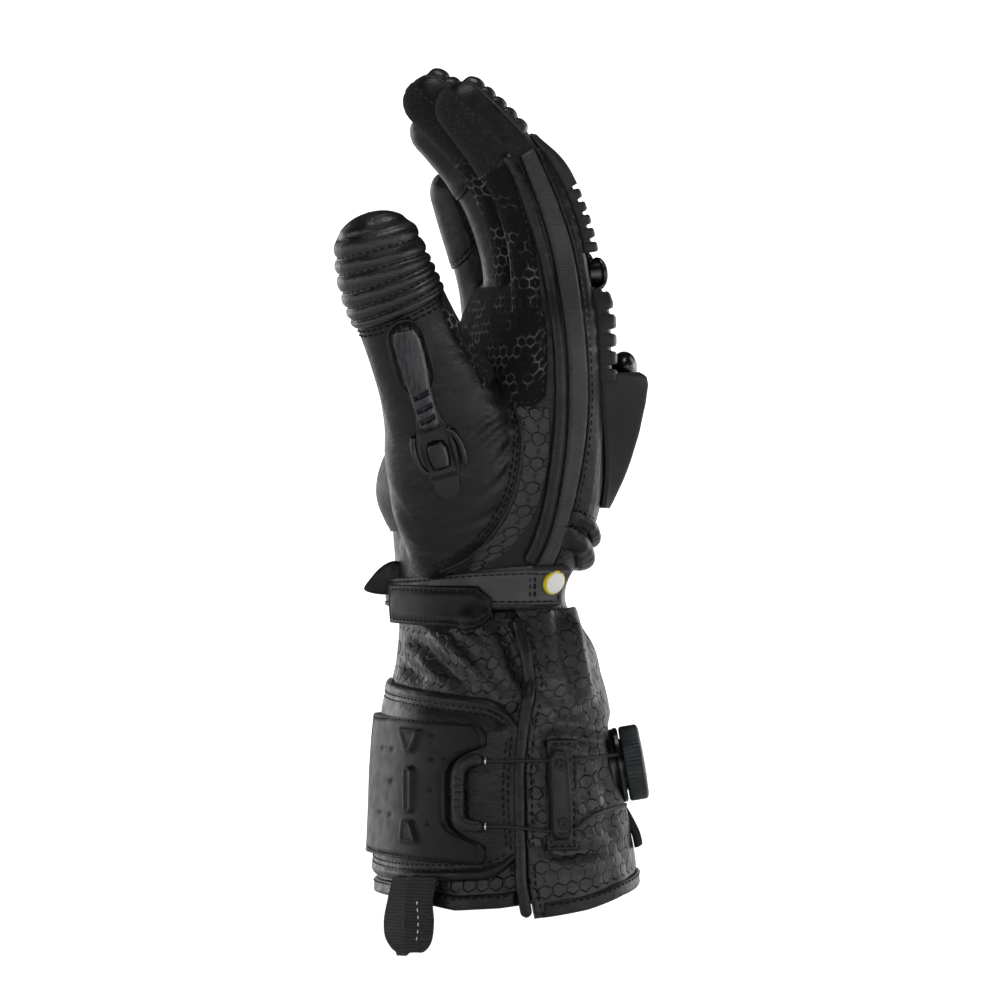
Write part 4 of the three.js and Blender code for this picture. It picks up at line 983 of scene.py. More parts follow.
PLATE_SEAM = 2.1
plate = Patch(sleeve.point(z, degrees, FLAP_THICK * wrapped(degrees)), 2.4, 0.9, sewn=PLATE_SEAM, dent=0.6)
plate.top += 0.35 * np.exp(-((plate.apart - 0.9) / 0.5) ** 2)
lifted = plate.surface + plate.normals * 2.5
for corners in PLATE_MARKS:
    raised = polygon_distance(lifted[..., 0], lifted[..., 2], [at_photo(*p) for p in corners])
    plate.top += 1.5 * smooth(raised, -0.45, 0.5) - 0.5 * smooth(raised, 0.9, 1.4)
for px, py in PLATE_DIMPLES:
    x, up = at_photo(px, py)
    plate.top -= 0.7 * np.exp(-((lifted[..., 0] - x) ** 2 + (lifted[..., 2] - up) ** 2) / 0.5)
plate_over, plate_up = plate.surface[..., 0], plate.surface[..., 2]
notch_band = (smooth(plate_over, -24, -16) * smooth(5.5 - plate.apart, 0, 1.5)
              * smooth(plate_up, 16, 20) * smooth(58 - plate_up, 0, 4))
plate.top += 0.25 * notch_band * np.sin(plate_up * 4.2 + plate_over * 2.0)
for side in "tbl":
    sewn_lines.append(plate.line(side, PLATE_SEAM))
dress(plate.piece("closure_plate_rubber", rubber, -0.4), ["closure_plate"])

# The lace, its hook on the flap and its guide on the back part
HOOK_RADIUS = 2.2
hook_lift = FLAP_THICK + 0.7 + HOOK_RADIUS


def on_sleeve(x, z, lift):
    """A point over the cuff that is seen at this x and z."""
    return sleeve.point(z, sleeve.facing(z, x, lift), lift)


HOOK_LINE = [(-8, 49.4), (-12, 49.6), (-15.6, 47.2), (-16.8, 43), (-16.8, 37), (-16.8, 31), (-15.6, 27.6),
             (-12, 26), (-8, 25.9)]
hook_points = [on_sleeve(x, z, hook_lift) for x, z in HOOK_LINE]
RING_PLACES = [0.36, 0.43, 0.5, 0.57, 0.64]
hook_length = line_length(hook_points)


def hook_rings(reach):
    """How much wider the hook is at each of its rings."""
    share = reach / hook_length
    return 1 + sum(0.14 * np.exp(-((share - place) / 0.012) ** 2) for place in RING_PLACES)


hook = cord_along("lace_hook_tube", hook_points, HOOK_RADIUS, hard_plastic, 20, 0.35, hook_rings)
dress(hook, ["lace_hook"])


def lace_line(z, guide_z, dial_z):
    """A lace's way from the hook, through the guide, to the dial."""
    return [on_sleeve(-9.5, z, hook_lift), on_sleeve(-7, z, hook_lift), on_sleeve(0, z, 6),
            on_sleeve(8, mix(z, guide_z, 0.5), 5.2), on_sleeve(16, guide_z, 4.2), on_sleeve(24, guide_z, 4),
            on_sleeve(32, mix(guide_z, dial_z, 0.6), 3.6), sleeve.point(dial_z, -38, 3.6)]


for name, points in (("lace_upper", lace_line(49.4, 49.6, 51)), ("lace_lower", lace_line(25.9, 24.2, 33))):
    dress(cord_along(name + "_braid", points, 0.65, lace_braid, 10, 0.8), [name])
    eyelet = np.array(points[0]) * 0.25 + np.array(points[1]) * 0.75
    ahead = np.array(points[1]) - np.array(points[0])
    ahead /= np.linalg.norm(ahead)
    bpy.ops.object.select_all(action="DESELECT")
    bpy.ops.mesh.primitive_torus_add(major_radius=1.15 * MM, minor_radius=0.42 * MM, major_segments=24,
                                     minor_segments=10, location=(eyelet + ahead * 0.6) * MM,
                                     rotation=Vector(ahead).to_track_quat("Z", "Y").to_euler())
    ring = bpy.context.object
    ring.name = name + "_eyelet"
    bpy.ops.object.transform_apply(location=True, rotation=True, scale=True)
    bpy.ops.object.shade_smooth()
    ring.data.materials.append(eyelet_metal)
    dress(ring)

# The lace guide: a capsule bar on a sewn strip of leather
guide_rows = lines(46, 1.4, (0, 0.3, 0.8, 1.4, 2.0, 2.8))
guide_z = mix(17.0, 57.0, guide_rows)
guide_left = np.array([sleeve.facing(v, 14.8, LEATHER) for v in guide_z])
guide_right = np.array([sleeve.facing(v, 26.0, LEATHER) for v in guide_z])
guide_columns = lines(16, 1.4, (0, 0.3, 0.8, 1.4, 2.0, 2.8))
guide_degrees = mix(guide_left[:, None], guide_right[:, None], guide_columns[None, :])
strip = Patch(sleeve.point(guide_z[:, None], guide_degrees, LEATHER), 1.0, 0.8, sewn=1.6)
for side in "lrtb":
    sewn_lines.append(strip.line(side, 1.6))
dress(strip.piece("lace_guide_strip", leather, -0.6))
bar_rows, bar_columns = np.linspace(0, 1, 70), np.linspace(0, 1, 26)
bar_z = mix(20.6, 53.4, bar_rows)
bar_left = sleeve.facing(37, 16.2, 5)
bar_right = sleeve.facing(37, 23.8, 5)
bar = Patch(sleeve.point(bar_z[:, None], mix(bar_left, bar_right, bar_columns)[None, :] + 0 * bar_z[:, None],
                         LEATHER + 0.8), 1.0)
bar_u = (bar_columns - 0.5)[None, :] * 8.4
bar_v = (bar_rows - 0.5)[:, None] * 32.8
bar_round = 3.6 - np.hypot(np.maximum(np.abs(bar_u) - 0.6, 0), np.maximum(np.abs(bar_v) - 12.6, 0))
bar.top = 0.4 + 3.4 * smooth(bar_round, -0.6, 1.2) - 0.9 * smooth(bar_round, 1.3, 1.9)
for ring_place in (10.5, -10.5):
    bar.top += 0.7 * smooth(0.8 - np.abs(np.hypot(bar_u, bar_v - ring_place) - 1.3), 0, 0.5)
dress(bar.piece("lace_guide_bar", hard_plastic, -0.6), ["lace_guide"])

# The closure dial: a base, a spool, and a knob with a toothed grip
DIAL_AXIS = Vector((0.985, 0, 0.17)).normalized()
DIAL_TURN = DIAL_AXIS.to_track_quat("Z", "Y")


def turned(name, profile, finish, axis, centre, sides):
    """A turned piece: a disc is extruded and resized from ring to ring, then set on its axis."""
    bpy.ops.object.select_all(action="DESELECT")
    bpy.ops.mesh.primitive_circle_add(vertices=sides, radius=profile[0][0] * MM, fill_type="NGON",
                                      location=(0, 0, profile[0][1] * MM))
    piece = bpy.context.object
    piece.name = name
    bpy.ops.object.mode_set(mode="EDIT")
    for (radius, height), (next_radius, next_height) in zip(profile, profile[1:]):
        rise = (next_height - height) * MM
        bpy.ops.mesh.extrude_region_move(TRANSFORM_OT_translate={"value": (0, 0, rise)})
        share = next_radius / radius
        bpy.ops.transform.resize(value=(share, share, 1), center_override=(0, 0, 0))
    bpy.ops.mesh.select_all(action="SELECT")
    bpy.ops.mesh.normals_make_consistent(inside=False)
    bpy.ops.object.mode_set(mode="OBJECT")
    piece.data.materials.append(finish)
    set_on_axis(piece, axis, centre)
    return piece


def set_on_axis(piece, axis, centre):
    """Sets a turned piece on its axis and applies that to its mesh."""
    stand = Matrix.LocRotScale(Vector(centre) * MM, axis.to_track_quat("Z", "Y"), None)
    piece.matrix_basis = stand @ piece.matrix_basis
    select_only(piece)
    bpy.ops.object.transform_apply(location=True, rotation=True, scale=True)
    keep_edges(piece, 35)


# Profiles: radius and height, from the underside round to the face.
BASE = [(13.0, -11.5), (13.8, -11), (14.0, -8.4), (13.4, -7.6), (13.4, -6.2), (13.8, -5.6), (13.6, -4.4),
        (12.8, -4.1), (10.6, -4.2), (10.4, -5.2)]
base = turned("dial_base_ring", BASE, gloss_plastic, DIAL_AXIS, DIAL_CENTRE, 96)
dress(base, ["dial_base"])
KNOB = [(3.8, 2.9), (9.8, 2.9), (9.8, -3.7), (12.9, -3.7), (13.5, -3.2), (13.6, -2.6), (13.6, 2.2),
        (13.5, 2.8), (12.9, 3.3), (11.6, 3.6), (11.2, 3.35), (10.6, 3.35), (10.2, 3.6), (5.2, 3.9),
        (4.8, 3.6), (4.2, 3.6), (3.8, 3.9)]
KNOB_TEETH = 60
GRIP_BAND = (-3.3, 2.5)
GRIP_DEPTH = 0.01  # as a share of the radius, out and in
knob = turned("dial_knob_grip", KNOB, knob_rubber, DIAL_AXIS, DIAL_CENTRE, 4 * KNOB_TEETH)
for corner in knob.data.vertices:
    spot = (DIAL_TURN.inverted() @ (corner.co / MM - DIAL_CENTRE)).to_3d()
    step = math.atan2(spot.y, spot.x) / (2 * math.pi) * 4 * KNOB_TEETH
    if GRIP_BAND[0] <= spot.z <= GRIP_BAND[1] and spot.xy.length > 11:
        spot.xy *= 1 + (GRIP_DEPTH if round(step) // 2 % 2 else -GRIP_DEPTH)
        corner.co = (DIAL_TURN @ spot + DIAL_CENTRE) * MM
dress(knob, ["dial_knob"], body="knob")
tongue_line = [(48.6, 17.2), (47.6, 21.6), (45.6, 26.0), (43.2, 30.2), (40.6, 34.0)]
tongue_x, tongue_z = along_line(tongue_line, 30).T
tongue_y = np.linspace(-7.6, 7.6, 22)
tongue_sides = np.broadcast_arrays(tongue_x[:, None], tongue_y[None, :] + DIAL_CENTRE.y, tongue_z[:, None])
tongue_surface = np.stack(tongue_sides, axis=2)
tongue = Patch(tongue_surface, 1.8, 1.6, sewn=2.6)
dress(tongue.piece("dial_tongue_pad", rubber, -1.4), ["dial_tongue"])

# The wrist strap, its tab and the snap
STRAP_THICK = 1.8
STRAP_TOP = 1.0 + STRAP_THICK
FINE_EDGE = (0, 0.25, 0.6, 1.1, 1.6, 2.2, 2.8)
strap_end = sleeve.facing(112, 20.6, STRAP_TOP)


def strap_surface(rows, columns):
    """The surface under the strap, round the wrist."""
    degrees = mix(-300, strap_end, columns)[None, :]
    slope = smooth(degrees, -200, -80)
    return sleeve.point(mix(WRIST_SEAM_Z + 0.7, mix(115, 120, slope), rows[:, None]), degrees)


strap = Patch(strap_surface(lines(13, 1.0, FINE_EDGE), lines(190, 1.5)), STRAP_TOP, 0.9, "rtb")
strap.top += 0.5 * np.exp(-((strap.apart - 0.9) / 0.6) ** 2) - 0.3 * np.exp(-((strap.apart - 2.0) / 0.4) ** 2)
strap_front = smooth(-strap.surface[..., 1], 5, 12)
strap.top += 0.6 * strap_front * smooth(strap.surface[..., 0], 9.2, 9.9)
dress(strap.piece("wrist_strap_band", strap_leather, 0.4), ["wrist_strap"])
for x in (9.0, 10.6):
    z = strap.surface[6:-6, -12, 2]
    degrees = np.array([sleeve.facing(level, x, STRAP_TOP) for level in z])
    line = sleeve.point(z, degrees, STRAP_TOP + 0.65 * (x > 9.6))
    sewn_lines.append((line, line - sleeve.point(z, degrees, STRAP_TOP - 1)))
for side in "rtb":
    sewn_lines.append(strap.line(side, 1.7))

TAB_BASE = STRAP_TOP + 0.7
TAB_TOP = TAB_BASE + 2
TAB_SEAM = 1.8
tab_columns = lines(72, 1.2, FINE_EDGE)
tab_rows = lines(15, 0.9, FINE_EDGE)
nip = 4.5 * np.clip((tab_columns - 0.86) / 0.14, 0, 1)[None, :]
tab_z = mix(mix(98.6, 96.2, tab_columns)[None, :] + nip, mix(112.6, 112.4, tab_columns)[None, :] - nip,
            tab_rows[:, None])
tab_right = np.array([sleeve.facing(v, -4.8, TAB_TOP) for v in tab_z[:, -1]])
tab_left = sleeve.facing(106, -41.0, TAB_BASE)
tab_degrees = mix(tab_left, np.interp(tab_z, tab_z[:, -1], tab_right), tab_columns[None, :])
tab = Patch(sleeve.point(tab_z, tab_degrees, TAB_BASE - 0.6), 2.6, 0.8, sewn=TAB_SEAM, dent=0.4)
tab.top += 0.3 * smooth(tab.apart, 2.6, 3.1)
for side in "tblr":
    sewn_lines.append(tab.line(side, TAB_SEAM))
dress(tab.piece("strap_tab_moulding", rubber, -0.2), ["strap_tab"])

SNAP = (16.8, 113.8)
snap_deg = sleeve.facing(SNAP[1], SNAP[0], STRAP_TOP)
snap_spot = sleeve.point(SNAP[1], snap_deg, STRAP_TOP + 1.0)
around = sleeve.point(SNAP[1], snap_deg + 1) - sleeve.point(SNAP[1], snap_deg - 1)
up = sleeve.point(SNAP[1] + 1, snap_deg) - sleeve.point(SNAP[1] - 1, snap_deg)
snap_axis = Vector(np.cross(around, up))
SNAP_RIM = [(4.2, -0.6), (4.6, -0.3), (4.75, 0.3), (4.6, 0.9), (4.2, 1.2), (3.7, 1.3)]
SNAP_CAP = [(4.0, 0.2), (4.05, 1.1), (3.9, 1.5), (3.3, 1.85), (2.2, 2.1), (1.0, 2.2)]
dress(turned("snap_rim", SNAP_RIM, snap_yellow, snap_axis, snap_spot, 40))
# The snap cap's white is a painted highlight.
dress(turned("snap_cap", SNAP_CAP, snap_white, snap_axis, snap_spot, 40), ["snap"])

# The thumb: quilted tip, side strip and slider
thumb = limbs["thumb"]
thumb_scan = np.linspace(60, thumb.end + thumb.cap, 400)
thumb_front_z = thumb.point(thumb_scan, 0, 1.5)[:, 2]


def thumb_place(z):
    """How far along the thumb its front is at this level."""
    return float(np.interp(z, thumb_front_z, thumb_scan))


ROLL_LEVELS = [209.0, 212.8, 217.2, 221.9, 227.4, 233.6]
roll_places = np.array([thumb_place(v) for v in ROLL_LEVELS])
tip_place = thumb.end + thumb.cap * 0.985
quilt_s = np.concatenate([np.linspace(a, b, 9)[:-1] for a, b in zip(roll_places, roll_places[1:])]
                         + [np.linspace(roll_places[-1], tip_place, 30)])
quilt_rows = np.interp(quilt_s, roll_places, np.arange(len(roll_places)))
quilt_degrees = np.linspace(-104, 104, 60)
surface = thumb.point(quilt_s[:, None], quilt_degrees[None, :])
quilt = Patch(surface, 1.0, borders="lrb")
swell = np.abs(np.sin(math.pi * quilt_rows)) ** 0.55
beyond = np.clip((quilt_s - roll_places[-1]) / (tip_place - roll_places[-1]), 0, 1)
swell = np.where(quilt_s > roll_places[-1], np.sin(math.pi * np.clip(beyond * 2.2, 0, 0.5)) ** 0.55, swell)
quilt.top = rolled(quilt.apart, 0.35, 1.6) + rolled(quilt.apart, 1.6, 4.0) * swell[:, None]
top_crease = 1.1 * np.exp(-((quilt_s - thumb_place(240.0)) / 0.9) ** 2)
quilt.top -= top_crease[:, None] * smooth(quilt.apart, 1, 4)
dress(quilt.piece("thumb_quilt_leather", quilted, -0.5), ["thumb_quilt"])
for place in roll_places[1:]:
    line = thumb.point(place, quilt_degrees[4:-4], 0.45)
    sewn_lines.append((line, line - thumb.point(place, quilt_degrees[4:-4], 0.0)))
for inset in (0.9, 2.6):
    line_degrees = np.linspace(-88, 66, 60)
    line = thumb.point(roll_places[0] - inset, line_degrees, 0.15)
    sewn_lines.append((line, line - thumb.point(roll_places[0] - inset, line_degrees, -1.0)))

STRIP_EDGE = [(428, 256), (430, 275), (437, 300), (447, 322), (459, 345), (470, 362), (482, 385)]
strip_low, strip_high = thumb_place(176), thumb_place(231)
surface = limb_grid(thumb, strip_low, strip_high,
                    lambda s: angle_on(thumb, s, STRIP_EDGE, 10, 120), 176, 1.6)[0]
thumb_strip = Patch(surface, 1.0, 0.9, sewn=1.7)
dress(thumb_strip.piece("thumb_side_suede", printed_suede, -0.6))
suede_lines.append(thumb_strip.line("l", 1.7))

# The thumb's slider: a gloss insert in a capsule frame, a slotted bar and a framed foot
SLIDER_TOP = at_photo(402, 322)
SLIDER_BOTTOM = at_photo(452, 500)
slider_way = np.subtract(SLIDER_BOTTOM, SLIDER_TOP)
slider_long = float(np.hypot(*slider_way))
slider_way = slider_way / slider_long
slider_side = np.array([-slider_way[1], slider_way[0]])
# Outlines: distance from the top and half width.
SLIDER_OUTLINE = [(0.0, 0.6), (1.0, 3.6), (3.0, 5.6), (6.0, 6.9), (10, 7.4), (16, 7.4), (21, 7.0), (24, 6.0),
                  (27, 4.4), (33, 4.2), (37, 4.6), (41, 5.6), (44, 6.8), (48, 7.4), (53, 7.2), (57, 6.0),
                  (60, 5.0), (63, 4.6), (65, 3.8), (66.4, 2.2), (67.2, 0.5)]


def slider_grid(outline, count, columns):
    """A grid over the thumb inside an outline, and the distances down it and across it."""
    far = np.linspace(outline[0][0], outline[-1][0], count)
    half = np.interp(far, *zip(*outline))
    side = np.linspace(-1, 1, columns)
    flat = (np.array(SLIDER_TOP) + far[:, None, None] * slider_way
            + side[None, :, None] * half[:, None, None] * slider_side)
    surface = seen(flat[..., 0], flat[..., 1])
    surface[..., 1] = soften(surface, 12)[..., 1]
    return surface[::-1], far[::-1, None], side[None, :] * half[::-1, None]


surface, far, side = slider_grid(SLIDER_OUTLINE, 150, 34)
frame_piece = Patch(surface, 1.6, 0.9)
capsule = 6.0 - np.hypot(np.maximum(np.abs(side) - 0.2, 0), np.maximum(0, np.abs(far - 14.2) - 7.2))
frame_piece.top -= 1.5 * smooth(capsule, 0.0, 0.8)
frame_piece.top += 0.5 * np.exp(-((capsule + 0.7) / 0.5) ** 2)
foot = smooth(far, 38, 42) * smooth(60 - far, 0, 3) * smooth(5.6 - np.abs(side), 0, 1)
frame_piece.top -= 1.2 * foot
dress(frame_piece.piece("thumb_slider_frame", hard_plastic, -0.8), ["thumb_slider"])
INSERT = [(1.9, 0.4), (2.6, 2.6), (4.4, 4.3), (8, 5.3), (14, 5.4), (20, 5.0), (26, 4.2), (33, 4.0), (37, 4.0),
          (40, 3.8), (41, 3.2), (41.6, 0.6)]
surface, far, side = slider_grid(INSERT, 120, 26)
insert = Patch(surface, 1.0)
half = np.interp(far, *zip(*INSERT))
crown = np.sqrt(np.clip(1 - (side / np.maximum(half, 0.3)) ** 2, 0, 1))
insert_ends = smooth(np.minimum(far - 1.8, 41.8 - far), 0, 3) ** 0.5
insert.top = 0.3 + (2.4 + 1.0 * smooth(far, 12, 26)) * crown * insert_ends
for slot_far in (28.0, 32.8, 37.0):
    slot = np.exp(-(((far - slot_far + 0.22 * side) / 0.75) ** 4))
    insert.top -= 1.7 * slot * smooth(2.9 - np.abs(side), 0, 0.6)
dress(insert.piece("thumb_slider_insert", brushed_painted_sheen_plastic, -0.6))
FOOT = [(45.0, 0.6), (45.6, 3.0), (48, 4.2), (52, 4.2), (55.6, 3.4), (56.2, 0.8)]
surface, far, side = slider_grid(FOOT, 40, 20)
foot_block = Patch(surface, 1.0)
half = np.interp(far, *zip(*FOOT))
foot_crown = np.clip(1 - (side / np.maximum(half, 0.3)) ** 4, 0, 1)
foot_block.top = 0.3 + 2.6 * foot_crown * smooth(np.minimum(far - 44.9, 56.3 - far), 0, 1.6)
dress(foot_block.piece("thumb_slider_foot", gloss_plastic, -0.6))
SLIDER_BARS = {
    "left": [(414, 437), (415, 452), (421, 466), (430, 476)],
    "right": [(447, 429), (456, 436), (463, 450), (466, 466)],
}
for name, line in SLIDER_BARS.items():
    flat = along_line([at_photo(*p) for p in line], 24)
    points = seen(flat[:, 0], flat[:, 1])
    points[:, 1] = running_mean(points[:, 1], 7) - 1.5
    dress(cord_along(f"thumb_slider_bar_{name}", points, 1.15, gloss_plastic, 12, 0.6))

# The fingers: quilted tips, touch pads, armour and rivets
TEETH = {"index": 5, "middle": 5, "ring": 5, "little": 2}
KNUCKLE_TEETH = 5
RIVET_AT = {"index": 30, "middle": 30, "ring": 29, "little": 29}
QUILT_RIBS = 5
TOUCH_LONG, TOUCH_SEAM = 27, 1.4
TOUCH_DEG = (-262, -98)


def tooth_rows(share, teeth):
    """Shares along a toothed piece, close together at each tooth's edges."""
    steps = [0.0, 0.03, 0.08, 0.2, 0.4, 0.56, 0.64, 0.69, 0.72, 0.75, 0.85, 0.95, 0.98]
    return np.array([(k + step) / teeth * share for k in range(teeth) for step in steps])


def tooth_drop(rows, share, teeth):
    """The slots between the teeth."""
    place = rows / share * teeth % 1
    slot = smooth(place, 0.68, 0.74) * (1 - smooth(place, 0.95, 1.0)) * (rows < share)
    worn = 0.5 * (1 - smooth(place, 0.0, 0.12)) + 0.5 * smooth(place, 0.56, 0.68)
    return 1.6 * slot + worn * (rows < share)


def side_fall(columns, share):
    """0 over the middle of a moulding, rounding off to 1 at its two sides."""
    inward = np.clip(np.minimum(columns, 1 - columns) / share, 0, 1)
    return 1 - np.sqrt(np.clip(1 - (1 - inward) ** 2, 0, 1))


def moulding(patch, name, nodes, base):
    """A hard moulding from a patch, with its sharp edges kept."""
    piece = patch.piece(name, hard_plastic, base)
    keep_edges(piece, 40)
    dress(piece, nodes)


RIVET = [(4.8, 0.4), (4.8, 5.0), (5.8, 5.2), (6.0, 5.7), (5.8, 6.5), (5.1, 7.2), (4.0, 7.6), (3.4, 7.4),
         (2.6, 7.5), (1.2, 7.9)]
rivet = turned("rivet_cap", RIVET, gloss_plastic, Vector((0, 0, 1)), (0, 0, 0), 32)
for name in FINGERS:
    limb = limbs[name]
    low, high = limb.end - 21, limb.end + limb.cap * 0.55
    rows = np.linspace(0, 1, QUILT_RIBS * 10 + 1)
    degrees = np.linspace(-58, 58, 40)
    surface = limb.point(mix(low, high, rows)[:, None], degrees[None, :])
    ribbing = Patch(surface, 0.55, 1.6)
    swell = np.abs(np.sin(math.pi * rows * QUILT_RIBS)) ** 0.6
    swell = 1.35 * swell[:, None] * np.cos(np.radians(degrees * 1.5))[None, :] ** 0.5
    ribbing.top += swell * smooth(ribbing.apart, 0, 2.0)
    dress(ribbing.piece(f"{name}_quilt_leather", quilted, -0.5), [f"{name}_quilt"])
    for k in range(1, QUILT_RIBS):
        valley = mix(low, high, k / QUILT_RIBS)
        line = limb.point(valley, degrees[6:-6], 0.45)
        sewn_lines.append((line, line - limb.point(valley, degrees[6:-6])))

    tip = limb.end + limb.cap * 0.8
    rows, columns = limb_grid(limb, limb.end - TOUCH_LONG, tip, *TOUCH_DEG, 1.6)[1:]
    arch = limb.end - TOUCH_LONG + 6 * np.abs(2 * columns - 1) ** 2.2
    surface = limb.point(mix(arch[None, :], tip, rows[:, None]), mix(*TOUCH_DEG, columns)[None, :])
    touch = Patch(surface, 0.9, 0.7, sewn=TOUCH_SEAM)
    if name in ("index", "middle"):
        dress(touch.piece(f"{name}_tip_suede", suede, -0.5), [f"{name}_touch_pad"])
    else:
        dress(touch.piece(f"{name}_tip_leather", leather, -0.5))
    suede_lines += [touch.line("b", TOUCH_SEAM), touch.line("r", TOUCH_SEAM)]

    start = RIVET_AT[name] + 6.8
    rows = np.concatenate([tooth_rows(0.5, TEETH[name]), np.linspace(0.5, 0.965, 16), [0.98, 0.992, 1.0]])
    columns = np.array([0, 0.02, 0.06, 0.12, 0.2, 0.35, 0.5, 0.65, 0.8, 0.88, 0.94, 0.98, 1])
    s = mix(start, limb.end - 22, rows)
    degrees = mix(-40, 40, columns)[None, :] * mix(1, 0.8, rows)[:, None]
    armour = Patch(limb.point(s[:, None], degrees), 1.0)
    armour.top = (5.2 - tooth_drop(rows, 0.5, TEETH[name]))[:, None] + 0.0 * degrees
    armour.top -= 3.2 * smooth(rows, 0.55, 1)[:, None] ** 1.5 + 1.5 * side_fall(columns, 0.16)[None, :]
    armour.top -= 1.1 * smooth(rows, 0.965, 1.0)[:, None]
    moulding(armour, f"{name}_armour_moulding", [f"{name}_armour"], 0.2)

    root = limb.point(RIVET_AT[name], 0, 0.0)
    out = Vector(root - limb.point(RIVET_AT[name], 0, -4.0)).normalized()
    cap = rivet.copy()
    cap.data = rivet.data.copy()
    cap.name = f"{name}_rivet_cap"
    bpy.context.collection.objects.link(cap)
    set_on_axis(cap, out, root)
    dress(cap, [f"{name}_rivet"])
bpy.data.objects.remove(rivet)

# The knuckle links and the shield over the back of the hand
KNUCKLE = (186, 218.6)
KNUCKLE_DEG = {"index": -43, "middle": -13, "ring": 14, "little": 42}
KNUCKLE_HALF = 8.5
for name in FINGERS:
    rows = np.concatenate([tooth_rows(1.0, KNUCKLE_TEETH), [0.992, 1.0]])
    columns = np.array([0, 0.03, 0.1, 0.2, 0.5, 0.8, 0.9, 0.97, 1])
    degrees = KNUCKLE_DEG[name] + mix(-KNUCKLE_HALF, KNUCKLE_HALF, columns)
    surface = sleeve.point(mix(*KNUCKLE, rows)[:, None], degrees[None, :])
    link = Patch(surface, 1.0)
    link.top = (6.6 - tooth_drop(rows, 1.0, KNUCKLE_TEETH))[:, None] - 1.2 * side_fall(columns, 0.2)[None, :]
    moulding(link, f"{name}_knuckle_moulding", [f"{name}_knuckle"], -0.4)

SHIELD = [(0, 1.4), (0.15, 4), (0.35, 8), (0.55, 11.4), (0.75, 14.2), (0.9, 15.4), (0.96, 15.0), (1, 13.4)]
shield_rows = np.concatenate([np.linspace(0, 0.9, 34), [0.93, 0.955, 0.975, 0.99, 1.0]])
SHIELD_SIDE = [0, 0.004, 0.01, 0.02, 0.035, 0.05, 0.06, 0.07, 0.08, 0.1]
SHIELD_FAR_SIDE = [0.9, 0.92, 0.93, 0.94, 0.95, 0.965, 0.98, 0.99, 0.996, 1]
shield_columns = np.concatenate([SHIELD_SIDE, np.linspace(0.13, 0.87, 26), SHIELD_FAR_SIDE])
shield_z = mix(141, mix(189.5, 199, smooth(shield_columns, 0.35, 0.7))[None, :], shield_rows[:, None])
surface = sleeve.point(shield_z, mix(-46, 50, shield_columns)[None, :])
shield = Patch(surface, 1.0)
wall = smooth(np.minimum(shield_columns, 1 - shield_columns), 0, 0.07) ** 0.7
shield.top = 2.2 + np.interp(shield_rows, *zip(*SHIELD))[:, None] * wall[None, :]
valley = np.exp(-((shield_columns - 0.47) / 0.06) ** 2)[None, :] * smooth(shield_rows, 0.55, 1.0)[:, None]
shield.top -= 2.2 * valley
shield.top -= 1.2 * (1 - np.sqrt(np.clip(1 - (smooth(shield_rows, 0.95, 1.0)) ** 2, 0, 1)))[:, None]
upper = surface + shield.normals * shield.top[..., None]
inner = surface + shield.normals * np.maximum(shield.top - 2.2, 0.6)[..., None]


def shell(name, upper, lower, finish):
    """A solid between two grids of points."""
    piece = pad(name, upper, 0.0, finish, 0.0, normals=np.zeros_like(upper))
    flat = np.concatenate([upper.reshape(-1, 3), lower.reshape(-1, 3)]) * MM
    piece.data.vertices.foreach_set("co", flat.ravel())
    piece.data.update()
    return piece


shield_piece = shell("hand_shield_moulding", upper, inner, hard_plastic)
keep_edges(shield_piece, 50)
dress(shield_piece, ["hand_shield"])

# The gloss end of the far knuckle's guard, above the shield
LOBE_AT = at_photo(624, 367)
LOBE_RADIUS = 5.2
bpy.ops.object.select_all(action="DESELECT")
bpy.ops.mesh.primitive_uv_sphere_add(segments=40, ring_count=24, radius=LOBE_RADIUS * MM,
                                     location=(LOBE_AT[0] * MM, 0.0, LOBE_AT[1] * MM))
lobe = bpy.context.object
lobe.name = "far_guard_lobe"
lobe.scale = (0.95, 2.2, 1.1)
bpy.ops.object.transform_apply(location=True, rotation=True, scale=True)
bpy.ops.object.shade_smooth()
lobe.data.materials.append(gloss_plastic)
dress(lobe)

# Padded rolls of the wrist, under the shield
ROLL_END_DEG = 62
# Columns: name, level, half its width, height, the angle at which it starts.
ROLLS = [("wrist_roll_upper", 137, 2.6, 2.4, -84), ("wrist_roll_lower", 130.4, 3.8, 3.6, -88)]
for name, level, half, height, start in ROLLS:
    rows, columns = np.linspace(0, 1, 20), np.linspace(0, 1, 110)
    drop = 8 * smooth(columns, 0, 0.35)
    z = level + mix(-half, half, rows)[:, None] - drop[None, :]
    surface = sleeve.point(z, mix(start, ROLL_END_DEG, columns)[None, :])
    roll = Patch(surface, 1.0)
    ends = smooth(np.minimum(columns, 1 - columns), 0, 0.12)
    pucker = 0.12 * np.sin(columns * 118) * np.sin(math.pi * rows)[:, None]
    crown = np.sin(math.pi * mix(0.05, 0.95, rows))[:, None] ** 0.8
    roll.top = 0.9 + (height + 0.6) * crown * ends[None, :] + pucker
    dress(roll.piece(name + "_leather", leather, -0.6), [name])
    for share in (0.04, 0.96):
        seam_z, seam_degrees = level + mix(-half, half, share) - drop, mix(start, ROLL_END_DEG, columns)
        line = sleeve.point(seam_z, seam_degrees, 1.3)
        sewn_lines.append((line, line - sleeve.point(seam_z, seam_degrees)))

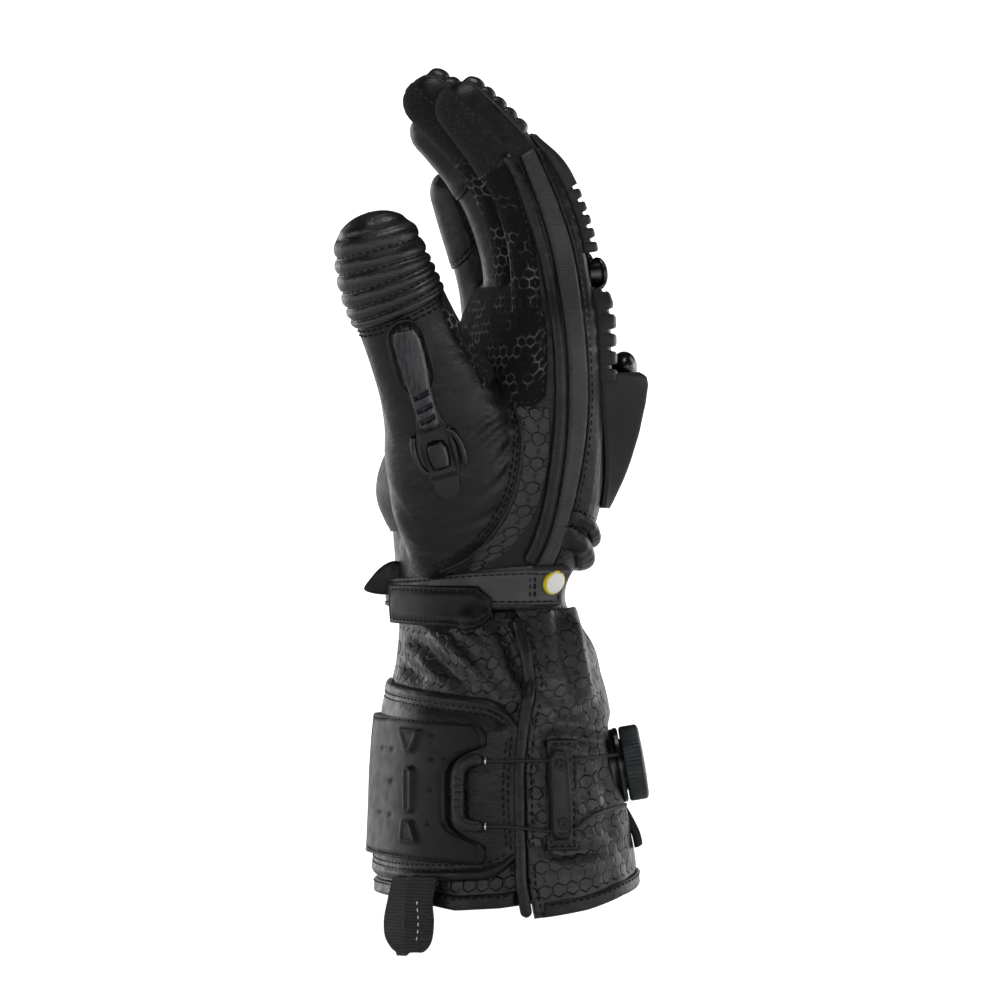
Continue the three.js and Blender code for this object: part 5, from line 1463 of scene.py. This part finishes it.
# The palm: printed suede, the finger strips and the slider at its heel
PALM_EDGE = [(545, 402), (546, 385), (546, 350), (543, 320), (538, 295)]
PALM_FAR_DEG = -252
FINGER_ROOTS_Z = 221
PALM_SEAM = 1.7
rows = lines(42, 2.0)
columns = lines(150, 2.0)
right = angle_on(sleeve, mix(176, FINGER_ROOTS_Z, rows), PALM_EDGE, -150, -40)
degrees = mix(PALM_FAR_DEG, right[:, None], columns[None, :])
low_edge = 177 + 12 * smooth(np.abs(columns - 0.62), 0.3, 0.5)
surface = sleeve.point(mix(low_edge[None, :], FINGER_ROOTS_Z, rows[:, None]), degrees)
palm = Patch(surface, 1.1, 0.8, sewn=PALM_SEAM)
dress(palm.piece("palm_patch_suede", printed_suede, -0.6), ["palm_patch"])
suede_lines += [palm.line("b", PALM_SEAM), palm.line("r", PALM_SEAM)]

STRIP_INNER = [(478, 172), (486, 205), (492, 240), (494, 275), (492, 300)]
STRIP_OUTER = [(513, 168), (522, 195), (530, 225), (536, 260), (541, 300)]
rows, columns = lines(62, 1.8), lines(16, 1.8)
for name in ("index", "middle"):
    limb = limbs[name]
    s = mix(8, limb.end - 26, rows)
    left, right = np.full(len(s), -205.0), np.full(len(s), -85.0)
    if name == "index":
        left = angle_on(limb, s, STRIP_INNER, -185, -80)
        right = angle_on(limb, s, STRIP_OUTER, -150, -30)
    surface = limb.point(s[:, None], mix(left[:, None], right[:, None], columns[None, :]))
    strip = Patch(surface, 1.0, 0.8, sewn=1.5)
    dress(strip.piece(f"{name}_side_suede", printed_suede, -0.6))
    suede_lines.append(strip.line("r" if name == "index" else "l", 1.5))

rows, columns = lines(36, 1.6), lines(64, 1.6)
surface = sleeve.point(mix(132, 172, rows)[:, None], mix(PALM_FAR_DEG, -158, columns)[None, :])
heel = Patch(surface, 1.2)
row_crown, column_crown = (np.sin(math.pi * mix(0.03, 0.97, shares)) for shares in (rows, columns))
crown = row_crown[:, None] * column_crown[None, :]
heel.top = 1.0 + 4.4 * smooth(crown, 0.2, 1.0) ** 0.8 + 1.2 * smooth(crown, 0.1, 0.3)
dress(heel.piece("palm_slider_moulding", rubber, -0.6), ["palm_slider"])

# The side of the hand: raised piping, a ribbed strip and the sewn panels beside them
SIDE_SEAM = [(505, 158), (519, 184), (529, 212), (539, 245), (547, 280), (553, 315), (557, 350), (558.5, 385),
             (558, 420), (555, 455), (550, 490), (543, 522), (535, 545), (526, 563)]
flat = along_line([at_photo(*p) for p in SIDE_SEAM], 150)
points = seen(flat[:, 0], flat[:, 1])
points[:, 1] = running_mean(points[:, 1], 13)
points += (0.25, -1.0, 0.0)
dress(cord_along("side_seam_piping", points, 2.1, leather, 16), ["side_piping"])

STRIP_LEFT = [(535, 565), (543, 548), (550, 528), (558, 492), (564, 450), (566, 410), (566, 370), (563, 330),
              (557, 290), (549, 250), (539, 215), (528, 185), (519, 160)]
STRIP_RIGHT = [(551, 565), (559, 548), (566, 528), (575, 490), (582, 450), (585.5, 410), (585, 370),
               (582, 330), (577, 290), (570, 250), (558, 212), (545, 180), (532, 152)]
surface = seen_grid(STRIP_LEFT, STRIP_RIGHT, 1.6)
ribbed_strip = Patch(surface, 1.5, 1.8)
dress(ribbed_strip.piece("side_ribbed_strip", ribbed_leather, -1.0))
BACK_RIGHT = [(572, 556), (586, 528), (595, 490), (598, 450), (599, 410), (598, 370), (594, 330), (588, 290),
              (580, 250), (569, 212), (556, 178), (542, 150)]
surface = seen_grid([(x + 1.5, y) for x, y in STRIP_RIGHT], BACK_RIGHT, 1.8)
back_panel = Patch(surface, 1.1, 1.0, "ltb", sewn=1.6)
dress(back_panel.piece("back_side_panel", leather, -1.0))
sewn_lines.append(back_panel.line("l", 1.6))

THENAR_LEFT = [(470, 574), (495, 560), (520, 536), (538, 505), (548, 465), (550, 430), (549, 409)]
THENAR_SEAM = [(440, 571), (470, 556), (497, 528), (514, 495), (521, 460), (521, 430), (513, 404)]
surface = seen_grid(THENAR_SEAM, THENAR_LEFT, 1.8)
hexagon_gusset = Patch(surface, 0.5, 0.6)
dress(hexagon_gusset.piece("thumb_gusset", embossed_leather, -1.0))
flat = along_line([at_photo(*p) for p in THENAR_SEAM], 120)
points = seen(flat[:, 0], flat[:, 1])
points[:, 1] = running_mean(points[:, 1], 9)
dress(cord_along("thenar_seam_roll", points + np.array([0, -0.1, 0]), 0.9, leather, 12))
for shift in (1.9, 3.4):
    moved = np.stack([flat[:, 0] - shift * 0.85, flat[:, 1] + shift * 0.5], axis=1)
    line = seen(moved[:, 0], moved[:, 1])
    line[:, 1] = running_mean(line[:, 1], 9) - 0.1
    sewn_lines.append((line, np.tile([0.2, -1.0, 0.0], (len(line), 1))))

# The strap's folded end, and the webbing loop under the flap
WING_OUTLINE = [(-52.6, 110.6), (-49, 109.3), (-44, 108.6), (-36, 109), (-34, 114), (-34, 119), (-38, 121.0),
                (-41, 121.6), (-44.5, 119.8), (-47, 117.6), (-50, 113.8)]
# Columns: depth behind the front face, share of the outline.
WING_RINGS = [(-0.2, 0.0), (-0.2, 0.6), (-0.1, 0.9), (0.4, 1.0), (1.2, 1.0), (1.7, 0.9), (1.8, 0.6),
              (1.8, 0.0)]
WING_FRONT = 3.9
edges = np.array(WING_OUTLINE, float)
middle = edges.mean(axis=0)
corners = []
for depth, share in WING_RINGS:
    for x, z in mix(middle, edges, max(share, 0.02)):
        ruffle = 0.5 * math.sin(x * 1.1) * share
        corners.append((x, WING_FRONT - depth + ruffle, z))
faces = flipped(ring_faces(len(WING_RINGS), len(edges)))
wing = show("strap_end_leather", corners, faces, leather)
apply_modifier(wing, "SUBSURF", levels=2, render_levels=2)
dress(wing, ["strap_end"])

left_leg = sleeve.facing(2, -38.2, 4)
right_leg = sleeve.facing(2, -30.4, 4)
left_top, right_top = sleeve.point(-1, left_leg, 4.4), sleeve.point(-1, right_leg, 4.6)
LOOP = [sleeve.point(7, left_leg, 3.0), left_top, left_top + (-1.4, -0.6, -8), left_top + (-0.6, -0.2, -14.5),
        mix(left_top, right_top, 0.5) + (-0.2, 0, -19), right_top + (-0.6, 0.2, -15.5),
        right_top + (0.4, 0.2, -8), right_top, sleeve.point(7, right_leg, 3.2)]
LOOP_WIDTH = 13.5
LOOP_STEPS = 90
loop_line = along_line(LOOP, LOOP_STEPS)
sides = [sleeve.point(0, leg + 5) - sleeve.point(0, leg - 5) for leg in (left_leg, right_leg)]
sides = [LOOP_WIDTH * side / np.linalg.norm(side) for side in sides]
loop_wide = mix(*sides, smooth(np.linspace(0, 1, LOOP_STEPS), 0.3, 0.7)[:, None])
shares = np.concatenate([[-0.5, -0.485, -0.46], np.linspace(-0.42, 0.42, 14), [0.46, 0.485, 0.5]])
surface = loop_line[:, None, :] + shares[None, :, None] * loop_wide[:, None, :]
loop = Patch(surface, 1.4, 0.5, "lr")
dress(loop.piece("pull_loop_webbing", webbing, 0.0), ["pull_loop"])
white_line, white_out = loop.line("l", 7.0, 0.5)
inner = slice(int(0.62 * len(white_line)), int(0.9 * len(white_line)))
white_row = [(white_line[inner], white_out[inner])]
dress(stitches("pull_loop_stitching", white_row, 1.5, 1.1, 0.22, snap_white))

dress(stitches("stitching", sewn_lines))
dress(stitches("suede_stitching", suede_lines, radius=0.34, finish=lace_braid))

# Perforations in the palm sides of the middle and ring fingers
PERFORATIONS = [(442, 200), (446, 222), (437, 178), (449, 246), (460, 186), (466, 198), (471, 212),
                (478, 224), (484, 240), (455, 262), (489, 256)]
HOLE_RIM = [(0.5, -0.2), (0.62, 0.05), (0.5, 0.14), (0.2, 0.1)]
HOLE_SIDES = 10
corners, faces = [], []
for px, py in PERFORATIONS:
    x, z = at_photo(px, py)
    hit, out = skin_tree.ray_cast(Vector((x, -200, z)) * MM, Vector((0, 1, 0)))[:2]
    if hit is None:
        continue
    turn = out.to_track_quat("Z", "Y")
    faces += ring_faces(len(HOLE_RIM), HOLE_SIDES, len(corners))
    for radius, height in HOLE_RIM:
        for k in range(HOLE_SIDES):
            a = 2 * math.pi * k / HOLE_SIDES
            spot = Vector((radius * math.cos(a), radius * math.sin(a), height))
            spot.rotate(turn)
            corners.append(spot + hit / MM)
dress(show("finger_perforations", corners, faces, lace_braid))

# Two solids are shown as they are
for name in ("dial_stud", "dial_spool"):
    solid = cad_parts[name]
    solid.data.materials.clear()
    solid.data.materials.append(gloss_plastic)

# The studio: a round pale floor that rises to a low wall, lit by itself far from the glove
FLOOR_Z = -120
FLOOR_REACH, WALL_TOP, WALL_BEND, FLOOR_SIDES = 6000, 1500, 900, 96
profile = [(r, FLOOR_Z) for r in (1, 200, 500, 900, 1500, 3000, FLOOR_REACH)]
profile += [(FLOOR_REACH + WALL_BEND * math.sin(a), FLOOR_Z + WALL_BEND * (1 - math.cos(a)))
            for a in np.linspace(0.1, math.pi / 2, 14)]
profile.append((FLOOR_REACH + WALL_BEND, WALL_TOP))
turns = np.linspace(0, 2 * math.pi, FLOOR_SIDES, endpoint=False)
stage_points = [(r * math.cos(a), r * math.sin(a), z) for r, z in profile for a in turns]
stage_faces = ring_faces(len(profile), FLOOR_SIDES)[:-2]
paper = Finish("studio_paper", (0.86, 0.86, 0.86), 0.9, Emission_Color=(1, 1, 1, 1))
paper.bump(paper.noise(40, 3), 0.0001, 0.2)
over_floor = paper.vector("MULTIPLY", paper.places.outputs["Object"], (1, 1, 0))
from_glove = paper.node("VectorMath", {0: over_floor}, operation="LENGTH").outputs["Value"]
paper.set("Emission Strength", paper.ramp(from_glove, 0.5, 1.7, 0.16, 1.0))
paper.material.cycles.emission_sampling = "NONE"
floor = show("studio_floor", stage_points, stage_faces, paper.material)

world = bpy.data.worlds.new("studio_air")
bpy.context.scene.world = world
world.use_nodes = True
world.node_tree.nodes["Background"].inputs[0].default_value = (1, 1, 1, 1)
world.node_tree.nodes["Background"].inputs[1].default_value = 0.01

LIT_PLACE = Vector((0, 0, 0.15))


def soft_box(name, place, size, power):
    """An area light in metres, that looks at the middle of the glove."""
    light = bpy.data.lights.new(name, "AREA")
    light.shape = "RECTANGLE"
    light.size, light.size_y = size
    light.energy = power
    lamp = bpy.data.objects.new(name, light)
    bpy.context.collection.objects.link(lamp)
    lamp.location = place
    lamp.rotation_euler = (LIT_PLACE - Vector(place)).to_track_quat("-Z", "Y").to_euler()


soft_box("left_box", (-1.3, -0.8, 0.5), (0.4, 1.1), 1.15)
soft_box("right_box", (1.3, -0.7, 0.4), (0.4, 1.2), 2.3)
soft_box("front_top_box", (-0.15, -0.9, 1.15), (0.7, 0.35), 0.9)
soft_box("top_box", (0.1, -0.1, 1.4), (0.7, 0.6), 5.2)
soft_box("far_left_box", (-1.1, 1.1, 0.6), (0.5, 1.2), 3)
soft_box("far_right_box", (1.1, 1.1, 0.6), (0.5, 1.2), 3)

bpy.context.scene.view_settings.view_transform = "Standard"
